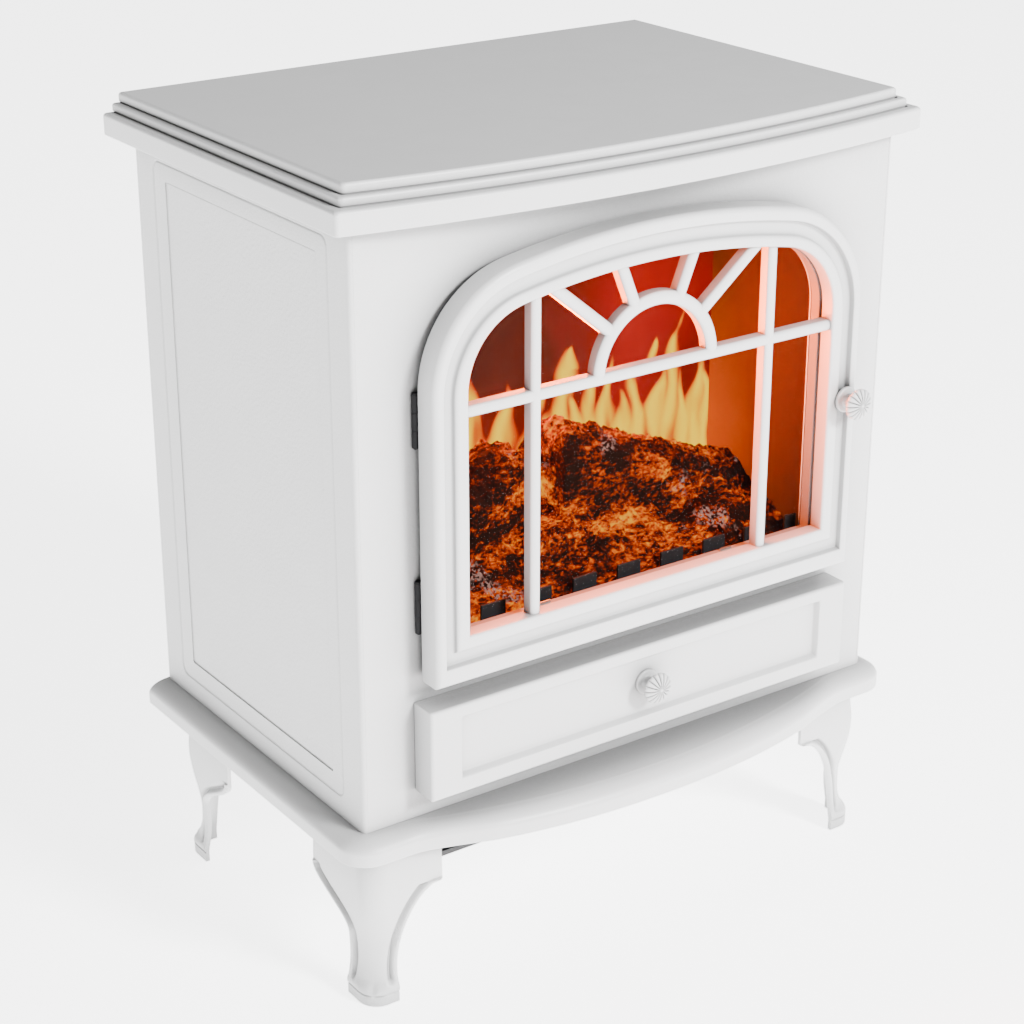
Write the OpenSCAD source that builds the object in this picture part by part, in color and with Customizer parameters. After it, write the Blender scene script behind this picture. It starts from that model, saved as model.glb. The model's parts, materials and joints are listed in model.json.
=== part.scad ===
// Free-standing electric fireplace in the shape of a small stove.
// X runs to the right, Y to the back and Z up; the stove faces -Y and stands on Z = 0.

/* [Body] */
// Height over all
total_h = 590; // [586:1:600]
// Width of the casing
body_w = 450; // [446:1:456]
// Height of the underside of the base plate
leg_h = 120; // [120:1:122]
// Sheet thickness of the casing
sheet = 1.5; // [1.2:0.1:1.8]

/* [Door] */
// Width of the arched door
door_w = 361; // [358:1:363]
// Thickness of the door frame
door_t = 20; // [18:0.5:20.5]
// Width of the glazing bars
bar_w = 8; // [6:0.5:10]
// Angle of the lower fan bars above the crossbar
low_spoke = 39.5; // [34:0.5:46]
// Angle of the upper fan bars above the crossbar
high_spoke = 68; // [62:0.5:74]

/* [Control cover] */
// Width of the drop-down cover
cover_w = 368; // [362:1:372]
// Thickness of the cover
cover_t = 21.6; // [20:0.4:21.6]

/* [Fire] */
// How many teeth the ember rail has on each side of the middle one
rail_teeth = 4; // [2:1:4]
// Height of the flame screen
screen_h = 256; // [250:1:258]

/* [Hidden] */
$fn = 48;
arc_fn = 360;

// Casing planes
body_x = body_w/2;
body_front = -126;
body_back = 158;
base_top = leg_h + 20;
panel_top = total_h - 17;

// Top panel: three stepped slabs with a bowed front
top_back = 175;
band_z = total_h - 29;
band_x = body_x + 15;
band_front = -159;
band_bow_r = 1360;
step_z = [total_h - 13, total_h - 7];
step_x = [body_x + 8, body_x + 2.5];
step_front = [-151, -145];
step_bow_r = [1330, 1300];

// Base plate: a bowed nose under a sloping top edge
nose_x = body_x + 17;
nose_front = -175;
nose_r = 22;
nose_bow_r = 727;
nose_h = 11;
base_back = 160;
shelf_front = -164;
shelf_bow_r = 620;
skin = 3;

// Legs
leg_x = body_x + 1;
leg_front_y = -129.5;
leg_back_y = 142;
leg_wall = 4;
leg_screw_r = 2.5;
leg_top = leg_h + 4;
leg_holes = [[15, 34], [34, 15]];

// Door
door_x = door_w/2;
door_back = body_front - 5.5;
door_front = door_back - door_t;
door_bottom = base_top + 105.8;
door_crown = total_h - 52;
door_r = 80;
door_bow_r = 600;
window_x = door_x - 26.7;
window_bottom = door_bottom + 33.2;
window_crown = door_crown - 28;
window_r = 53;
window_bow_r = 573;
recess_depth = 6;
glass_front = door_back - 7.8;
glass_t = 3;
rebate = 6;
bar_front = door_front + 3.3;
bar_z = total_h - 155.4;
bar_x = 99;
fan_r = 43;
knob_x = door_x - 11.5;
knob_z = bar_z - 57;

// Hinges in the gap behind the door
hinge_x = -door_x;
hinge_y = body_front - 2.75;
hinge_r = 2.4;
hinge_h = 36;
hinge_pin_r = 1.2;
run_gap = 0.05;
hinge_leaf_w = 23;
hinge_leaf_t = 1.2;
hinge_z = [298, 429];
hinge_gap = 0.3;
hinge_screw_r = 1.25;

// Control cover and what lies behind it
cover_x = cover_w/2;
cover_back = body_front - 0.4;
cover_front = cover_back - cover_t;
cover_bottom = base_top + 21;
cover_top = base_top + 88.5;
cover_wall = 3;
cover_recess = 5;
cover_inside = cover_front + cover_recess + cover_wall;
pivot_r = 2.5;
pivot_y = cover_back - pivot_r;
pivot_z = cover_bottom + pivot_r;
pivot_pin_r = 1.25;
control_x = 170;
control_z = [base_top + 28, base_top + 76];
panel_y = -105;
switch_x = [-110, -70, -30];
switch_z = base_top + 52;
rocker_r = 9;
rocker_w = 11;
rocker_tilt = 10;
rocker_y = panel_y + 3.4;
dial_x = 95;
dial_r = 15;
shaft_r = 3;

// Firebox
fire_x = 156;
fire_floor = 262;
screen_y = -16;
rail_y = -122;
rail_pitch = 38.6;
tooth_w = 20;
tooth_h = 7;

// Flame works behind the screen
box_back = 70;
spindle_y = 24;
spindle_z = 292;
spindle_r = 3;
motor_x = 128;

// Fan heater in the foot of the casing
heater_x = 110;
heater_y = [-60, 70];
heater_top = 238;
blower_y = 22;
blower_z = 188;
blower_r = 24;
blower_x = 84;
outlet_x = 168;
outlet_y = [-119, -70];
outlet_bottom = 96.5;
duct_x = 101;
gland_x = -180;
gland_z = base_top + 26;
cord_r = 3.6;

// ---------- shared shapes ----------

// An outline with straight sides, round shoulders and a long flat arch over them
module arch(hw, low, crown, r, bow_r) {
    bow_z = crown - bow_r;
    cx = hw - r;
    cz = bow_z + sqrt(pow(bow_r - r, 2) - cx*cx);
    out = [cx, cz - bow_z]*1.5*bow_r/(bow_r - r) + [0, bow_z];
    translate([-hw, low]) square([2*hw, cz - low]);
    for (s = [-1, 1]) translate([s*cx, cz]) circle(r);
    intersection() {
        translate([0, bow_z]) circle(bow_r, $fn = arc_fn);
        polygon([[-cx, low], [cx, low], [cx, cz], out, [-out.x, out.y], [-cx, cz]]);
    }
}

// A plan outline with a bowed front, round front corners and a straight back
module bowed(hw, back, front, r, bow_r)
    mirror([0, 1]) arch(hw, -back, -front, r, bow_r);

// The same with sharp corners
module bow_plate(hw, back, front, bow_r) intersection() {
    translate([0, front + bow_r]) circle(bow_r, $fn = arc_fn);
    translate([-hw, front - 1]) square([2*hw, back - front + 1]);
}

module round_rect(x0, x1, y0, y1, r) {
    translate([x0 + r, y0]) square([x1 - x0 - 2*r, y1 - y0]);
    translate([x0, y0 + r]) square([x1 - x0, y1 - y0 - 2*r]);
    for (x = [x0 + r, x1 - r], y = [y0 + r, y1 - r]) translate([x, y]) circle(r);
}

// An outline drawn in X and Z, given a thickness from y0 to y1
module slab_y(y0, y1) translate([0, y1, 0]) rotate([90, 0, 0]) linear_extrude(y1 - y0) children();

// An outline drawn in Y and Z, given a thickness from x0 to x1
module slab_x(x0, x1) translate([x0, 0, 0]) rotate([90, 0, 90]) linear_extrude(x1 - x0) children();

module slab_z(z0, z1) translate([0, 0, z0]) linear_extrude(z1 - z0) children();

module block(x, y, z) translate([x[0], y[0], z[0]]) cube([x[1] - x[0], y[1] - y[0], z[1] - z[0]]);

module rod_x(x0, x1, y, z, r) translate([x0, y, z]) rotate([0, 90, 0]) cylinder(r = r, h = x1 - x0);
module rod_y(x, y0, y1, z, r) translate([x, y1, z]) rotate([90, 0, 0]) cylinder(r = r, h = y1 - y0);
module rod_z(x, y, z0, z1, r) translate([x, y, z0]) cylinder(r = r, h = z1 - z0);

// ---------- casing ----------

back_screw_places = [for (x = [-214, 0, 214], z = [base_top + 10, panel_top - 30]) [x, z]];
top_screw_places = [for (x = [-217, 217], y = [-80, 110]) [x, y]];
screw_r = 1.9;

module top_panel() color("white") difference() {
    union() {
        slab_z(band_z, step_z[0]) bow_plate(band_x, top_back, band_front, band_bow_r);
        slab_z(step_z[0], step_z[1]) bow_plate(step_x[0], top_back, step_front[0], step_bow_r[0]);
        slab_z(step_z[1], total_h) bow_plate(step_x[1], top_back, step_front[1], step_bow_r[1]);
    }
    slab_z(band_z - 1, panel_top) bow_plate(band_x - 4, top_back - 4, band_front + 4, band_bow_r);
    block([20 - body_x, body_x - 20], [body_front + 20, body_back - 20], [panel_top - 1, total_h - 3.5]);
    for (p = top_screw_places) rod_z(p[0], p[1], panel_top - 1, panel_top + 9, screw_r);
}

// A side sheet with a rolled groove, a sunk field and folded edges
module side_panel() {
    groove = [24, 14, 20];
    field = [39, 30, 34];
    difference() {
        union() {
            block([-body_x, sheet - body_x], [body_front + sheet, body_back], [base_top, panel_top]);
            for (z = [base_top, panel_top - sheet])
                block([-body_x, 14 - body_x], [body_front + 14, body_back - 14], [z, z + sheet]);
        }
        slab_x(-body_x - 1, 0.6 - body_x) difference() {
            round_rect(body_front + groove[0], body_back - groove[0],
                       base_top + groove[1], panel_top - groove[2], 10);
            round_rect(body_front + groove[0] + 2, body_back - groove[0] - 2,
                       base_top + groove[1] + 2, panel_top - groove[2] - 2, 8);
        }
        block([-body_x - 1, 0.7 - body_x], [body_front + field[0], body_back - field[0]],
              [base_top + field[1], panel_top - field[2]]);
        for (p = top_screw_places) rod_z(p[0], p[1], panel_top - 5, panel_top + 1, screw_r);
    }
}

module left_side_panel() color("white") side_panel();
module right_side_panel() color("white") mirror([1, 0, 0]) side_panel();

module front_panel() color("white") difference() {
    union() {
        block([-body_x, body_x], [body_front, body_front + sheet], [base_top, panel_top]);
        for (s = [-1, 1])
            block([s*(body_x - 1.5*sheet) - sheet/2, s*(body_x - 1.5*sheet) + sheet/2],
                  [body_front, body_front + 13], [base_top, panel_top]);
    }
    slab_y(body_front - 1, body_front + sheet + 1)
        arch(window_x, window_bottom, window_crown, window_r, window_bow_r);
    slab_y(body_front - 1, body_front + sheet + 1)
        round_rect(-control_x, control_x, control_z[0], control_z[1], 3);
    for (z = hinge_z, dz = [-12, 12])
        rod_y(hinge_x + 15, body_front - 1, body_front + sheet + 1, z + dz, hinge_screw_r);
}

module back_panel() color("white") difference() {
    block([sheet - body_x, body_x - sheet], [body_back - sheet, body_back], [base_top, panel_top]);
    for (i = [-7:7], z = [base_top + 26, base_top + 66, panel_top - 90])
        block([i*14 - 2.5, i*14 + 2.5], [body_back - 4, body_back + 1], [z, z + 30]);
    rod_y(gland_x, body_back - 4, body_back + 1, gland_z, 8);
    for (p = back_screw_places) rod_y(p[0], body_back - 4, body_back + 1, p[1], screw_r);
}

// A screw that points up, its head below the origin
module screw() {
    rod_z(0, 0, -2.2, 0, 3.8);
    rod_z(0, 0, 0, 8, screw_r);
}

module casing_screws() color("silver") {
    for (p = back_screw_places) translate([p[0], body_back, p[1]]) rotate([90, 0, 0]) screw();
    for (p = top_screw_places) translate([p[0], p[1], panel_top - sheet]) screw();
}

// The four leg corners, each mirrored so that its local X and Y run inwards
module at_legs(right, back)
    translate([right ? leg_x : -leg_x, back ? leg_back_y : leg_front_y, 0])
        mirror([right ? 1 : 0, 0, 0]) mirror([0, back ? 1 : 0, 0]) children();

module base_plate() color("white") difference() {
    union() {
        slab_z(leg_h, leg_h + nose_h) bowed(nose_x, base_back, nose_front, nose_r, nose_bow_r);
        hull() {
            slab_z(leg_h + nose_h - 0.5, leg_h + nose_h)
                bowed(nose_x, base_back, nose_front, nose_r, nose_bow_r, $fn = 32);
            slab_z(base_top - 2.7, base_top - 2.5)
                bowed(body_x + 9, base_back, shelf_front - 6, nose_r - 8, shelf_bow_r + 40, $fn = 32);
            slab_z(base_top - 0.2, base_top)
                bowed(body_x + 1, base_back, shelf_front, 6, shelf_bow_r, $fn = 32);
        }
    }
    difference() {
        union() {
            slab_z(leg_h - 1, leg_h + nose_h - 3)
                bowed(nose_x - 4, base_back - 4, nose_front + 4, nose_r - 4, nose_bow_r - 4);
            block([6 - body_x, body_x - 6], [body_front + 4, body_back - 4], [leg_h, base_top - skin]);
        }
        for (r = [false, true], b = [false, true]) at_legs(r, b)
            block([7, 44], [7, 44], [leg_top, base_top]);
    }
    for (r = [false, true], b = [false, true]) at_legs(r, b)
        for (p = leg_holes) rod_z(p[0], p[1], leg_h, base_top - 5, leg_screw_r);
    block([-duct_x, duct_x], [outlet_y[0] + 3, outlet_y[1] - 3], [leg_h, base_top + 1]);
}

// A soft step from 0 to 1 between two heights
function ease(z, z0, z1) = (1 - cos(180*max(0, min(1, (z - z0)/(z1 - z0)))))/2;

// How far the leg is set in at a height: foot, slim ankle, knee and the root under the base
function leg_set(z) = z < 34 ? 10.7*sin(90*max(0, (z - 8)/26)) : z < 91
    ? 10.7*(1 - ease(z, 34, 91)) : 4*ease(z, 91, 124);

// How far each wing reaches from the corner: along the front the ear is narrow, along the side wide
function front_reach(z) = 61 - 37*sqrt(1 - pow(max(0, min(1, (z - 18)/69)), 2));
function side_reach(z) = 30 + 43*ease(z, 50, 86);

leg_levels = [0, 8, 10, 13, 18, 24, 34, 44, 54, 62, 68, 74, 79, 83, 86.9, 91, 103, leg_top];
down = [for (i = [len(leg_levels) - 1:-1:0]) leg_levels[i]];

// The leg's outline from each side, from its outer face to the end of the wing
module front_outline()
    polygon(concat([for (z = leg_levels) [leg_set(z), z]], [for (z = down) [front_reach(z), z]]));

module side_outline()
    polygon(concat([for (z = leg_levels) [leg_set(z), z]], [for (z = down) [side_reach(z), z]]));

module leg() difference() {
    union() {
        difference() {
            intersection() {
                slab_y(0, 80) front_outline();
                slab_x(0, 80) side_outline();
            }
            intersection() {
                slab_y(0, 90) hollow_outline();
                slab_x(0, 90) hollow_outline();
            }
        }
        block([6, 44], [6, 44], [leg_h, leg_top]);
    }
    for (p = leg_holes) rod_z(p[0], p[1], leg_h - 1, leg_top + 1, leg_screw_r);
}

// What lies inside the leg's wall, open above and below
module hollow_outline()
    polygon(concat([[90, -1], [leg_wall, -1]], [for (z = leg_levels) [leg_set(z) + leg_wall, z]],
                   [[leg_set(leg_top) + leg_wall, leg_top + 1], [90, leg_top + 1]]));

module leg_front_left() color("white") at_legs(false, false) leg();
module leg_front_right() color("white") at_legs(true, false) leg();
module leg_back_left() color("white") at_legs(false, true) leg();
module leg_back_right() color("white") at_legs(true, true) leg();

module leg_screws() color("silver")
    for (r = [false, true], b = [false, true]) at_legs(r, b) for (p = leg_holes) {
        rod_z(p[0], p[1], leg_h - 3, leg_h, 4.6);
        rod_z(p[0], p[1], leg_h, leg_h + 13, leg_screw_r);
    }

// ---------- door ----------

module window_outline(grow)
    arch(window_x + grow, window_bottom - grow, window_crown + grow, window_r + grow, window_bow_r + grow);

module door_frame() color("white") difference() {
    slab_y(door_front, door_back) arch(door_x, door_bottom, door_crown, door_r, door_bow_r);
    slab_y(door_front - 1, door_back + 1) window_outline(0);
    slab_y(glass_front, door_back + 1) window_outline(rebate);
    slab_y(door_front - 1, door_front + recess_depth) difference() {
        arch(door_x - 5.3, door_bottom + 13.3, door_crown - 9, door_r - 6, door_bow_r - 6);
        window_outline(9.7);
    }
    rod_y(knob_x, door_front - 1, door_back + 1, knob_z, 2.2);
    for (p = clip_places) rod_y(p[0], door_back - 6, door_back + 1, p[1], 1.25);
    for (z = hinge_z, dz = [-12, 12])
        rod_y(hinge_x + 15, door_back - 6, door_back + 1, z + dz, hinge_screw_r);
    block([knob_x - 9, knob_x - 1], [door_back - 2, door_back + 1], [knob_z - 50, knob_z - 30]);
}

// The bars of the window: one across, two upright, a half circle and its spokes
module bars_outline() {
    translate([-window_x, bar_z - bar_w/2]) square([2*window_x, bar_w]);
    for (s = [-1, 1]) translate([s*bar_x - bar_w/2, window_bottom]) square([bar_w, 300]);
    translate([0, bar_z]) intersection() {
        difference() {
            circle(fan_r + bar_w + 1.5);
            circle(fan_r);
        }
        translate([-100, 0]) square([200, 100]);
    }
    for (a = [low_spoke, high_spoke, 180 - high_spoke, 180 - low_spoke]) translate([0, bar_z])
        rotate(a) translate([fan_r + 2, -bar_w/2]) square([200, bar_w]);
}

module fanlight_bars() color("white")
    slab_y(bar_front, glass_front) intersection() {
        bars_outline();
        window_outline(0);
    }

module door_glass() color("lightblue", 0.4)
    slab_y(glass_front, glass_front + glass_t) window_outline(rebate - 0.3);

module glass_retainer() color("gray")
    slab_y(glass_front + glass_t, door_back) difference() {
        window_outline(rebate - 0.3);
        window_outline(0);
    }

clip_places = [
    [-window_x - 14, 362], [window_x + 14, 300], [window_x + 14, 400],
    [-80, window_bottom - 14], [80, window_bottom - 14], [-60, window_crown + 11], [60, window_crown + 11]
];

// The inward direction of each clip, towards the edge of the glass
clip_turns = [0, 180, 180, 90, 90, 270, 270];

module glass_clips() color("silver") for (i = [0:len(clip_places) - 1])
    translate([clip_places[i][0], 0, clip_places[i][1]]) rotate([0, -clip_turns[i], 0]) difference() {
        block([-4, 12], [door_back, door_back + 1], [-5, 5]);
        rod_y(0, door_back - 1, door_back + 2, 0, 1.4);
    }

module glass_clip_screws() color("silver") for (p = clip_places) {
    rod_y(p[0], door_back + 1, door_back + 2.4, p[1], 2.6);
    rod_y(p[0], door_back - 5, door_back + 1, p[1], 1.25);
}

// A turned knob: a ring at the foot, a slim neck and a domed head
module knob() rotate([90, 0, 0]) rotate_extrude() difference() {
    polygon([[0, 0], [9.5, 0], [10, 1], [9, 2.6], [5.2, 4], [4.6, 7], [5, 10], [9, 13],
             [12, 15], [12, 17], [10.5, 19], [7, 20.6], [3, 21.4], [0, 21.6]]);
    translate([-1, -1]) square([2.6, 9]);
}

module door_knob() color("white") translate([knob_x, door_front, knob_z]) knob();

module door_knob_screw() color("silver") {
    rod_y(knob_x, door_back, door_back + 2, knob_z, 4);
    rod_y(knob_x, door_front - 7, door_back, knob_z, 1.6);
}

// ---------- hinges and catch ----------

// One side of a hinge: its knuckles round the pin and its screwed leaf
module knuckle(z0, z1, leaf, bore) difference() {
    union() {
        rod_z(hinge_x, hinge_y, z0, z1, hinge_r);
        block([hinge_x, hinge_x + 4], leaf, [z0, z1]);
    }
    rod_z(hinge_x, hinge_y, z0 - 1, z1 + 1, bore);
}

module hinge_leaf(zc, leaf) difference() {
    block([hinge_x + 3.5, hinge_x + hinge_leaf_w], leaf, [zc - hinge_h/2, zc + hinge_h/2]);
    for (z = [-12, 12]) rod_y(hinge_x + 15, leaf[0] - 1, leaf[1] + 1, zc + z, 1.4);
}

module hinge_body_leaf(zc) color("black") {
    leaf = [body_front - hinge_leaf_t, body_front];
    third = hinge_h/6;
    hinge_leaf(zc, leaf);
    knuckle(zc - 3*third, zc - third - hinge_gap, leaf, hinge_pin_r);
    knuckle(zc + third + hinge_gap, zc + 3*third, leaf, hinge_pin_r);
}

module hinge_door_leaf(zc) color("black") {
    leaf = [door_back, door_back + hinge_leaf_t];
    third = hinge_h/6;
    hinge_leaf(zc, leaf);
    knuckle(zc - third, zc + third, leaf, hinge_pin_r + run_gap);
}

module hinge_pin(zc) color("dimgray") {
    rod_z(hinge_x, hinge_y, zc - hinge_h/2 - 1, zc + hinge_h/2, hinge_pin_r);
    rod_z(hinge_x, hinge_y, zc + hinge_h/2, zc + hinge_h/2 + 1.2, hinge_pin_r + 0.8);
}

module lower_hinge_body_leaf() hinge_body_leaf(hinge_z[0]);
module lower_hinge_door_leaf() hinge_door_leaf(hinge_z[0]);
module lower_hinge_pin() hinge_pin(hinge_z[0]);
module upper_hinge_body_leaf() hinge_body_leaf(hinge_z[1]);
module upper_hinge_door_leaf() hinge_door_leaf(hinge_z[1]);
module upper_hinge_pin() hinge_pin(hinge_z[1]);

module hinge_body_screws() color("black") for (z = hinge_z, dz = [-12, 12]) {
    rod_y(hinge_x + 15, body_front - hinge_leaf_t - 0.8, body_front - hinge_leaf_t, z + dz, 2.4);
    rod_y(hinge_x + 15, body_front - hinge_leaf_t, body_front + 5, z + dz, hinge_screw_r);
}

module hinge_door_screws() color("black") for (z = hinge_z, dz = [-12, 12]) {
    rod_y(hinge_x + 15, door_back + hinge_leaf_t, door_back + hinge_leaf_t + 0.8, z + dz, 2.4);
    rod_y(hinge_x + 15, door_back - 5, door_back + hinge_leaf_t, z + dz, hinge_screw_r);
}

module door_magnet() color("dimgray")
    block([knob_x - 9, knob_x - 1], [door_back + 0.9, body_front], [knob_z - 50, knob_z - 30]);

module door_strike_plate() color("silver")
    block([knob_x - 8.8, knob_x - 1.2], [door_back - 2, door_back + 0.5], [knob_z - 49.8, knob_z - 30.2]);

// ---------- control cover ----------

module control_cover() color("white") difference() {
    union() {
        block([-cover_x, cover_x], [cover_front, pivot_y], [cover_bottom, cover_top]);
        block([-cover_x, cover_x], [pivot_y - 0.01, cover_back], [pivot_z, cover_top]);
        rod_x(-cover_x, cover_x, pivot_y, pivot_z, pivot_r);
    }
    block([cover_wall - cover_x, cover_x - cover_wall], [cover_inside, cover_back + 1],
          [cover_bottom + 8, cover_top - cover_wall]);
    for (s = [-1, 1]) block([s*(cover_x - 6.5) - 3.5, s*(cover_x - 6.5) + 3.5],
                            [pivot_y - 7, cover_back + 1], [cover_bottom - 1, cover_top - cover_wall]);
    block([15 - cover_x, cover_x - 15], [cover_front + 14, cover_back + 1],
          [cover_bottom - 1, cover_bottom + 9]);
    block([25 - cover_x, cover_x - 25], [cover_front - 1, cover_front + cover_recess],
          [cover_bottom + 12.4, cover_top - 10]);
    rod_x(-cover_x + 0.5, cover_x - 0.5, pivot_y, pivot_z, pivot_pin_r + run_gap);
    rod_y(0, cover_front - 1, cover_back, (cover_bottom + cover_top)/2 + 3, 2.2);
}

module cover_knob() color("white")
    translate([0, cover_front + cover_recess, (cover_bottom + cover_top)/2 + 3]) knob();

module cover_knob_screw() color("silver") {
    y = cover_front + cover_recess;
    z = (cover_bottom + cover_top)/2 + 3;
    rod_y(0, y + cover_wall, y + cover_wall + 2, z, 4);
    rod_y(0, y - 7, y + cover_wall, z, 1.6);
}

// Lugs on the casing whose pins carry the cover
module cover_hinge_brackets() color("silver") for (s = [-1, 1]) scale([s, 1, 1]) {
    block([cover_x - 8, cover_x - 5], [pivot_y - 2, body_front], [cover_bottom + 0.6, pivot_z + 2.4]);
    rod_x(cover_x - 8, cover_x - 0.7, pivot_y, pivot_z, pivot_pin_r);
}

module cover_magnet() color("dimgray")
    block([-10, 10], [cover_inside + 1.4, body_front], [cover_top - 10.5, cover_top - 4.5]);

module cover_strike_plate() color("silver")
    block([-9, 9], [cover_inside, cover_inside + 1], [cover_top - 10, cover_top - 5]);

// The tray behind the cover that carries the switches and the dial
module control_panel() color("whitesmoke") difference() {
    block([-control_x - 4, control_x + 4], [body_front + sheet, panel_y + 1.2],
          [control_z[0] - 3, control_z[1] + 3]);
    block([-control_x - 2.8, control_x + 2.8], [body_front, panel_y],
          [control_z[0] - 1.8, control_z[1] + 1.8]);
    for (x = switch_x) block([x - 7.5, x + 7.5], [panel_y - 1, panel_y + 3], [switch_z - 10, switch_z + 10]);
    rod_y(dial_x, panel_y - 1, panel_y + 3, switch_z, 5);
}

module switch_housings() color("black") for (x = switch_x) difference() {
    union() {
        block([x - 9, x + 9], [panel_y - 1.6, panel_y], [switch_z - 12, switch_z + 12]);
        block([x - 7.5, x + 7.5], [panel_y, panel_y + 22], [switch_z - 10, switch_z + 10]);
    }
    rod_x(x - rocker_w/2 - 0.3, x + rocker_w/2 + 0.3, rocker_y, switch_z, rocker_r + 0.35);
    block([x - rocker_w/2 - 0.3, x + rocker_w/2 + 0.3], [panel_y - 3, rocker_y],
          [switch_z - rocker_r - 0.35, switch_z + rocker_r + 0.35]);
    rod_x(x - rocker_w/2 - 0.9, x + rocker_w/2 + 0.9, rocker_y, switch_z, 1 + run_gap);
}

// A rocker at rest in its off position, with the top half standing out
module rocker(x) translate([0, rocker_y, switch_z]) rotate([rocker_tilt, 0, 0]) {
    slab_x(x - rocker_w/2, x + rocker_w/2) intersection() {
        circle(rocker_r);
        polygon([[-7.4, -10], [-6, 0], [-7.4, 10], [4, 10], [4, -10]]);
    }
    rod_x(x - rocker_w/2 - 0.8, x + rocker_w/2 + 0.8, 0, 0, 1);
}

module flame_rocker() color("red") rocker(switch_x[0]);
module low_heat_rocker() color("dimgray") rocker(switch_x[1]);
module high_heat_rocker() color("dimgray") rocker(switch_x[2]);

module thermostat_body() color("silver") difference() {
    union() {
        block([dial_x - 16, dial_x + 16], [panel_y + 1.2, panel_y + 20], [switch_z - 14, switch_z + 14]);
        rod_y(dial_x, panel_y - 4, panel_y + 1.2, switch_z, 4.8);
    }
    rod_y(dial_x, panel_y - 5, panel_y + 12, switch_z, shaft_r + run_gap);
}

// The dial with its pointer ridge and its shaft
module thermostat_dial() color("whitesmoke") {
    translate([dial_x, panel_y - 5, switch_z]) rotate([90, 0, 0]) difference() {
        union() {
            cylinder(r = dial_r, h = 3);
            cylinder(r = dial_r - 3, h = 13);
            translate([-1.2, 0, 12]) cube([2.4, dial_r - 3.5, 1.8]);
        }
        for (a = [0:30:359]) rotate(a) translate([dial_r - 1.6, 0, 4]) cylinder(r = 1.5, h = 12);
    }
    rod_y(dial_x, panel_y - 6, panel_y + 11, switch_z, shaft_r);
}

// ---------- firebox ----------

module firebox_liner() color("maroon") {
    top = fire_floor + screen_h;
    difference() {
        block([-fire_x - 2, fire_x + 2], [body_front + sheet + 2, screen_y], [fire_floor, top]);
        block([-fire_x, fire_x], [body_front, screen_y + 1], [fire_floor + 2, top - 2]);
    }
    difference() {
        block([-fire_x - 6, fire_x + 6], [body_front + sheet, body_front + sheet + 2],
              [fire_floor - 4, top + 4]);
        slab_y(body_front, body_front + sheet + 3) window_outline(0);
    }
}

// The bed rises from the rail to the back, with two logs across it
module log_bed() color("sienna") {
    back = screen_y - 5;
    low = fire_floor + 2;
    slab_x(-fire_x + 1, fire_x - 1)
        polygon([[-118, low], [back, low], [back, low + 40], [-70, low + 32], [-118, low + 10]]);
    intersection() {
        union() {
            translate([-92, -66, low + 50]) rotate([0, 55, 16])
                cylinder(r = 22, h = 104, center = true);
            translate([50, -66, low + 50]) rotate([0, 114.5, 12])
                cylinder(r = 26, h = 160, center = true);
        }
        block([-fire_x + 1, fire_x - 1], [-118, back], [low, low + 140]);
    }
}

module ember_rail() color("black") {
    top = window_bottom - 4;
    block([-fire_x + 1, fire_x - 1], [rail_y, rail_y + 2], [fire_floor + 2, top]);
    for (i = [-rail_teeth:rail_teeth])
        block([i*rail_pitch - min(tooth_w/2, abs(fire_x - 1.2 - abs(i)*rail_pitch)),
               i*rail_pitch + min(tooth_w/2, abs(fire_x - 1.2 - abs(i)*rail_pitch))],
              [rail_y, rail_y + 2], [top - 0.5, top + tooth_h]);
}

module flame_screen() color("orange")
    block([-fire_x - 4, fire_x + 4], [screen_y, screen_y + 3], [fire_floor - 4, fire_floor + screen_h + 4]);

module light_box() color("silver") difference() {
    block([-fire_x - 4, fire_x + 4], [screen_y + 3, box_back], [fire_floor - 4, fire_floor + screen_h + 4]);
    block([-fire_x - 2.5, fire_x + 2.5], [screen_y, box_back - 1.5],
          [fire_floor - 2.5, fire_floor + screen_h + 2.5]);
}

module spindle_motor() color("silver") difference() {
    union() {
        rod_x(motor_x, motor_x + 16, spindle_y, spindle_z, 20);
        block([motor_x + 4, motor_x + 10], [spindle_y - 14, spindle_y + 14],
              [fire_floor - 2.5, spindle_z - 10]);
    }
    rod_x(motor_x - 1, motor_x + 12, spindle_y, spindle_z, spindle_r + run_gap);
}

// The turning rod with its rows of bent reflector strips
module flame_spindle() color("gold") {
    rod_x(-motor_x - 8, motor_x + 11, spindle_y, spindle_z, spindle_r);
    for (i = [-7:7]) translate([i*16, spindle_y, spindle_z]) rotate([i*52, 0, 0])
        block([-5, 5], [-0.4, 0.4], [-22, 22]);
}

module spindle_bearing() color("ivory") difference() {
    union() {
        rod_x(-motor_x - 9, -motor_x - 3, spindle_y, spindle_z, 7);
        block([-motor_x - 9, -motor_x - 3], [spindle_y - 6, spindle_y + 6], [fire_floor - 2.5, spindle_z]);
    }
    rod_x(-motor_x - 10, -motor_x - 2, spindle_y, spindle_z, spindle_r + run_gap);
}

module led_board() color("darkgreen") {
    block([-120, 120], [screen_y + 8, screen_y + 10], [fire_floor - 2.5, fire_floor + 14]);
    for (i = [-5:5]) rod_y(i*21, screen_y + 10, screen_y + 15, fire_floor + 6, 2.5);
}

// ---------- fan heater ----------

module heater_housing() color("silver") {
    heater_case();
    difference() {
        rod_x(1 - heater_x, 12 - heater_x, blower_y, blower_z, 7);
        rod_x(2 - heater_x, 13 - heater_x, blower_y, blower_z, shaft_r + run_gap);
    }
}

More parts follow.
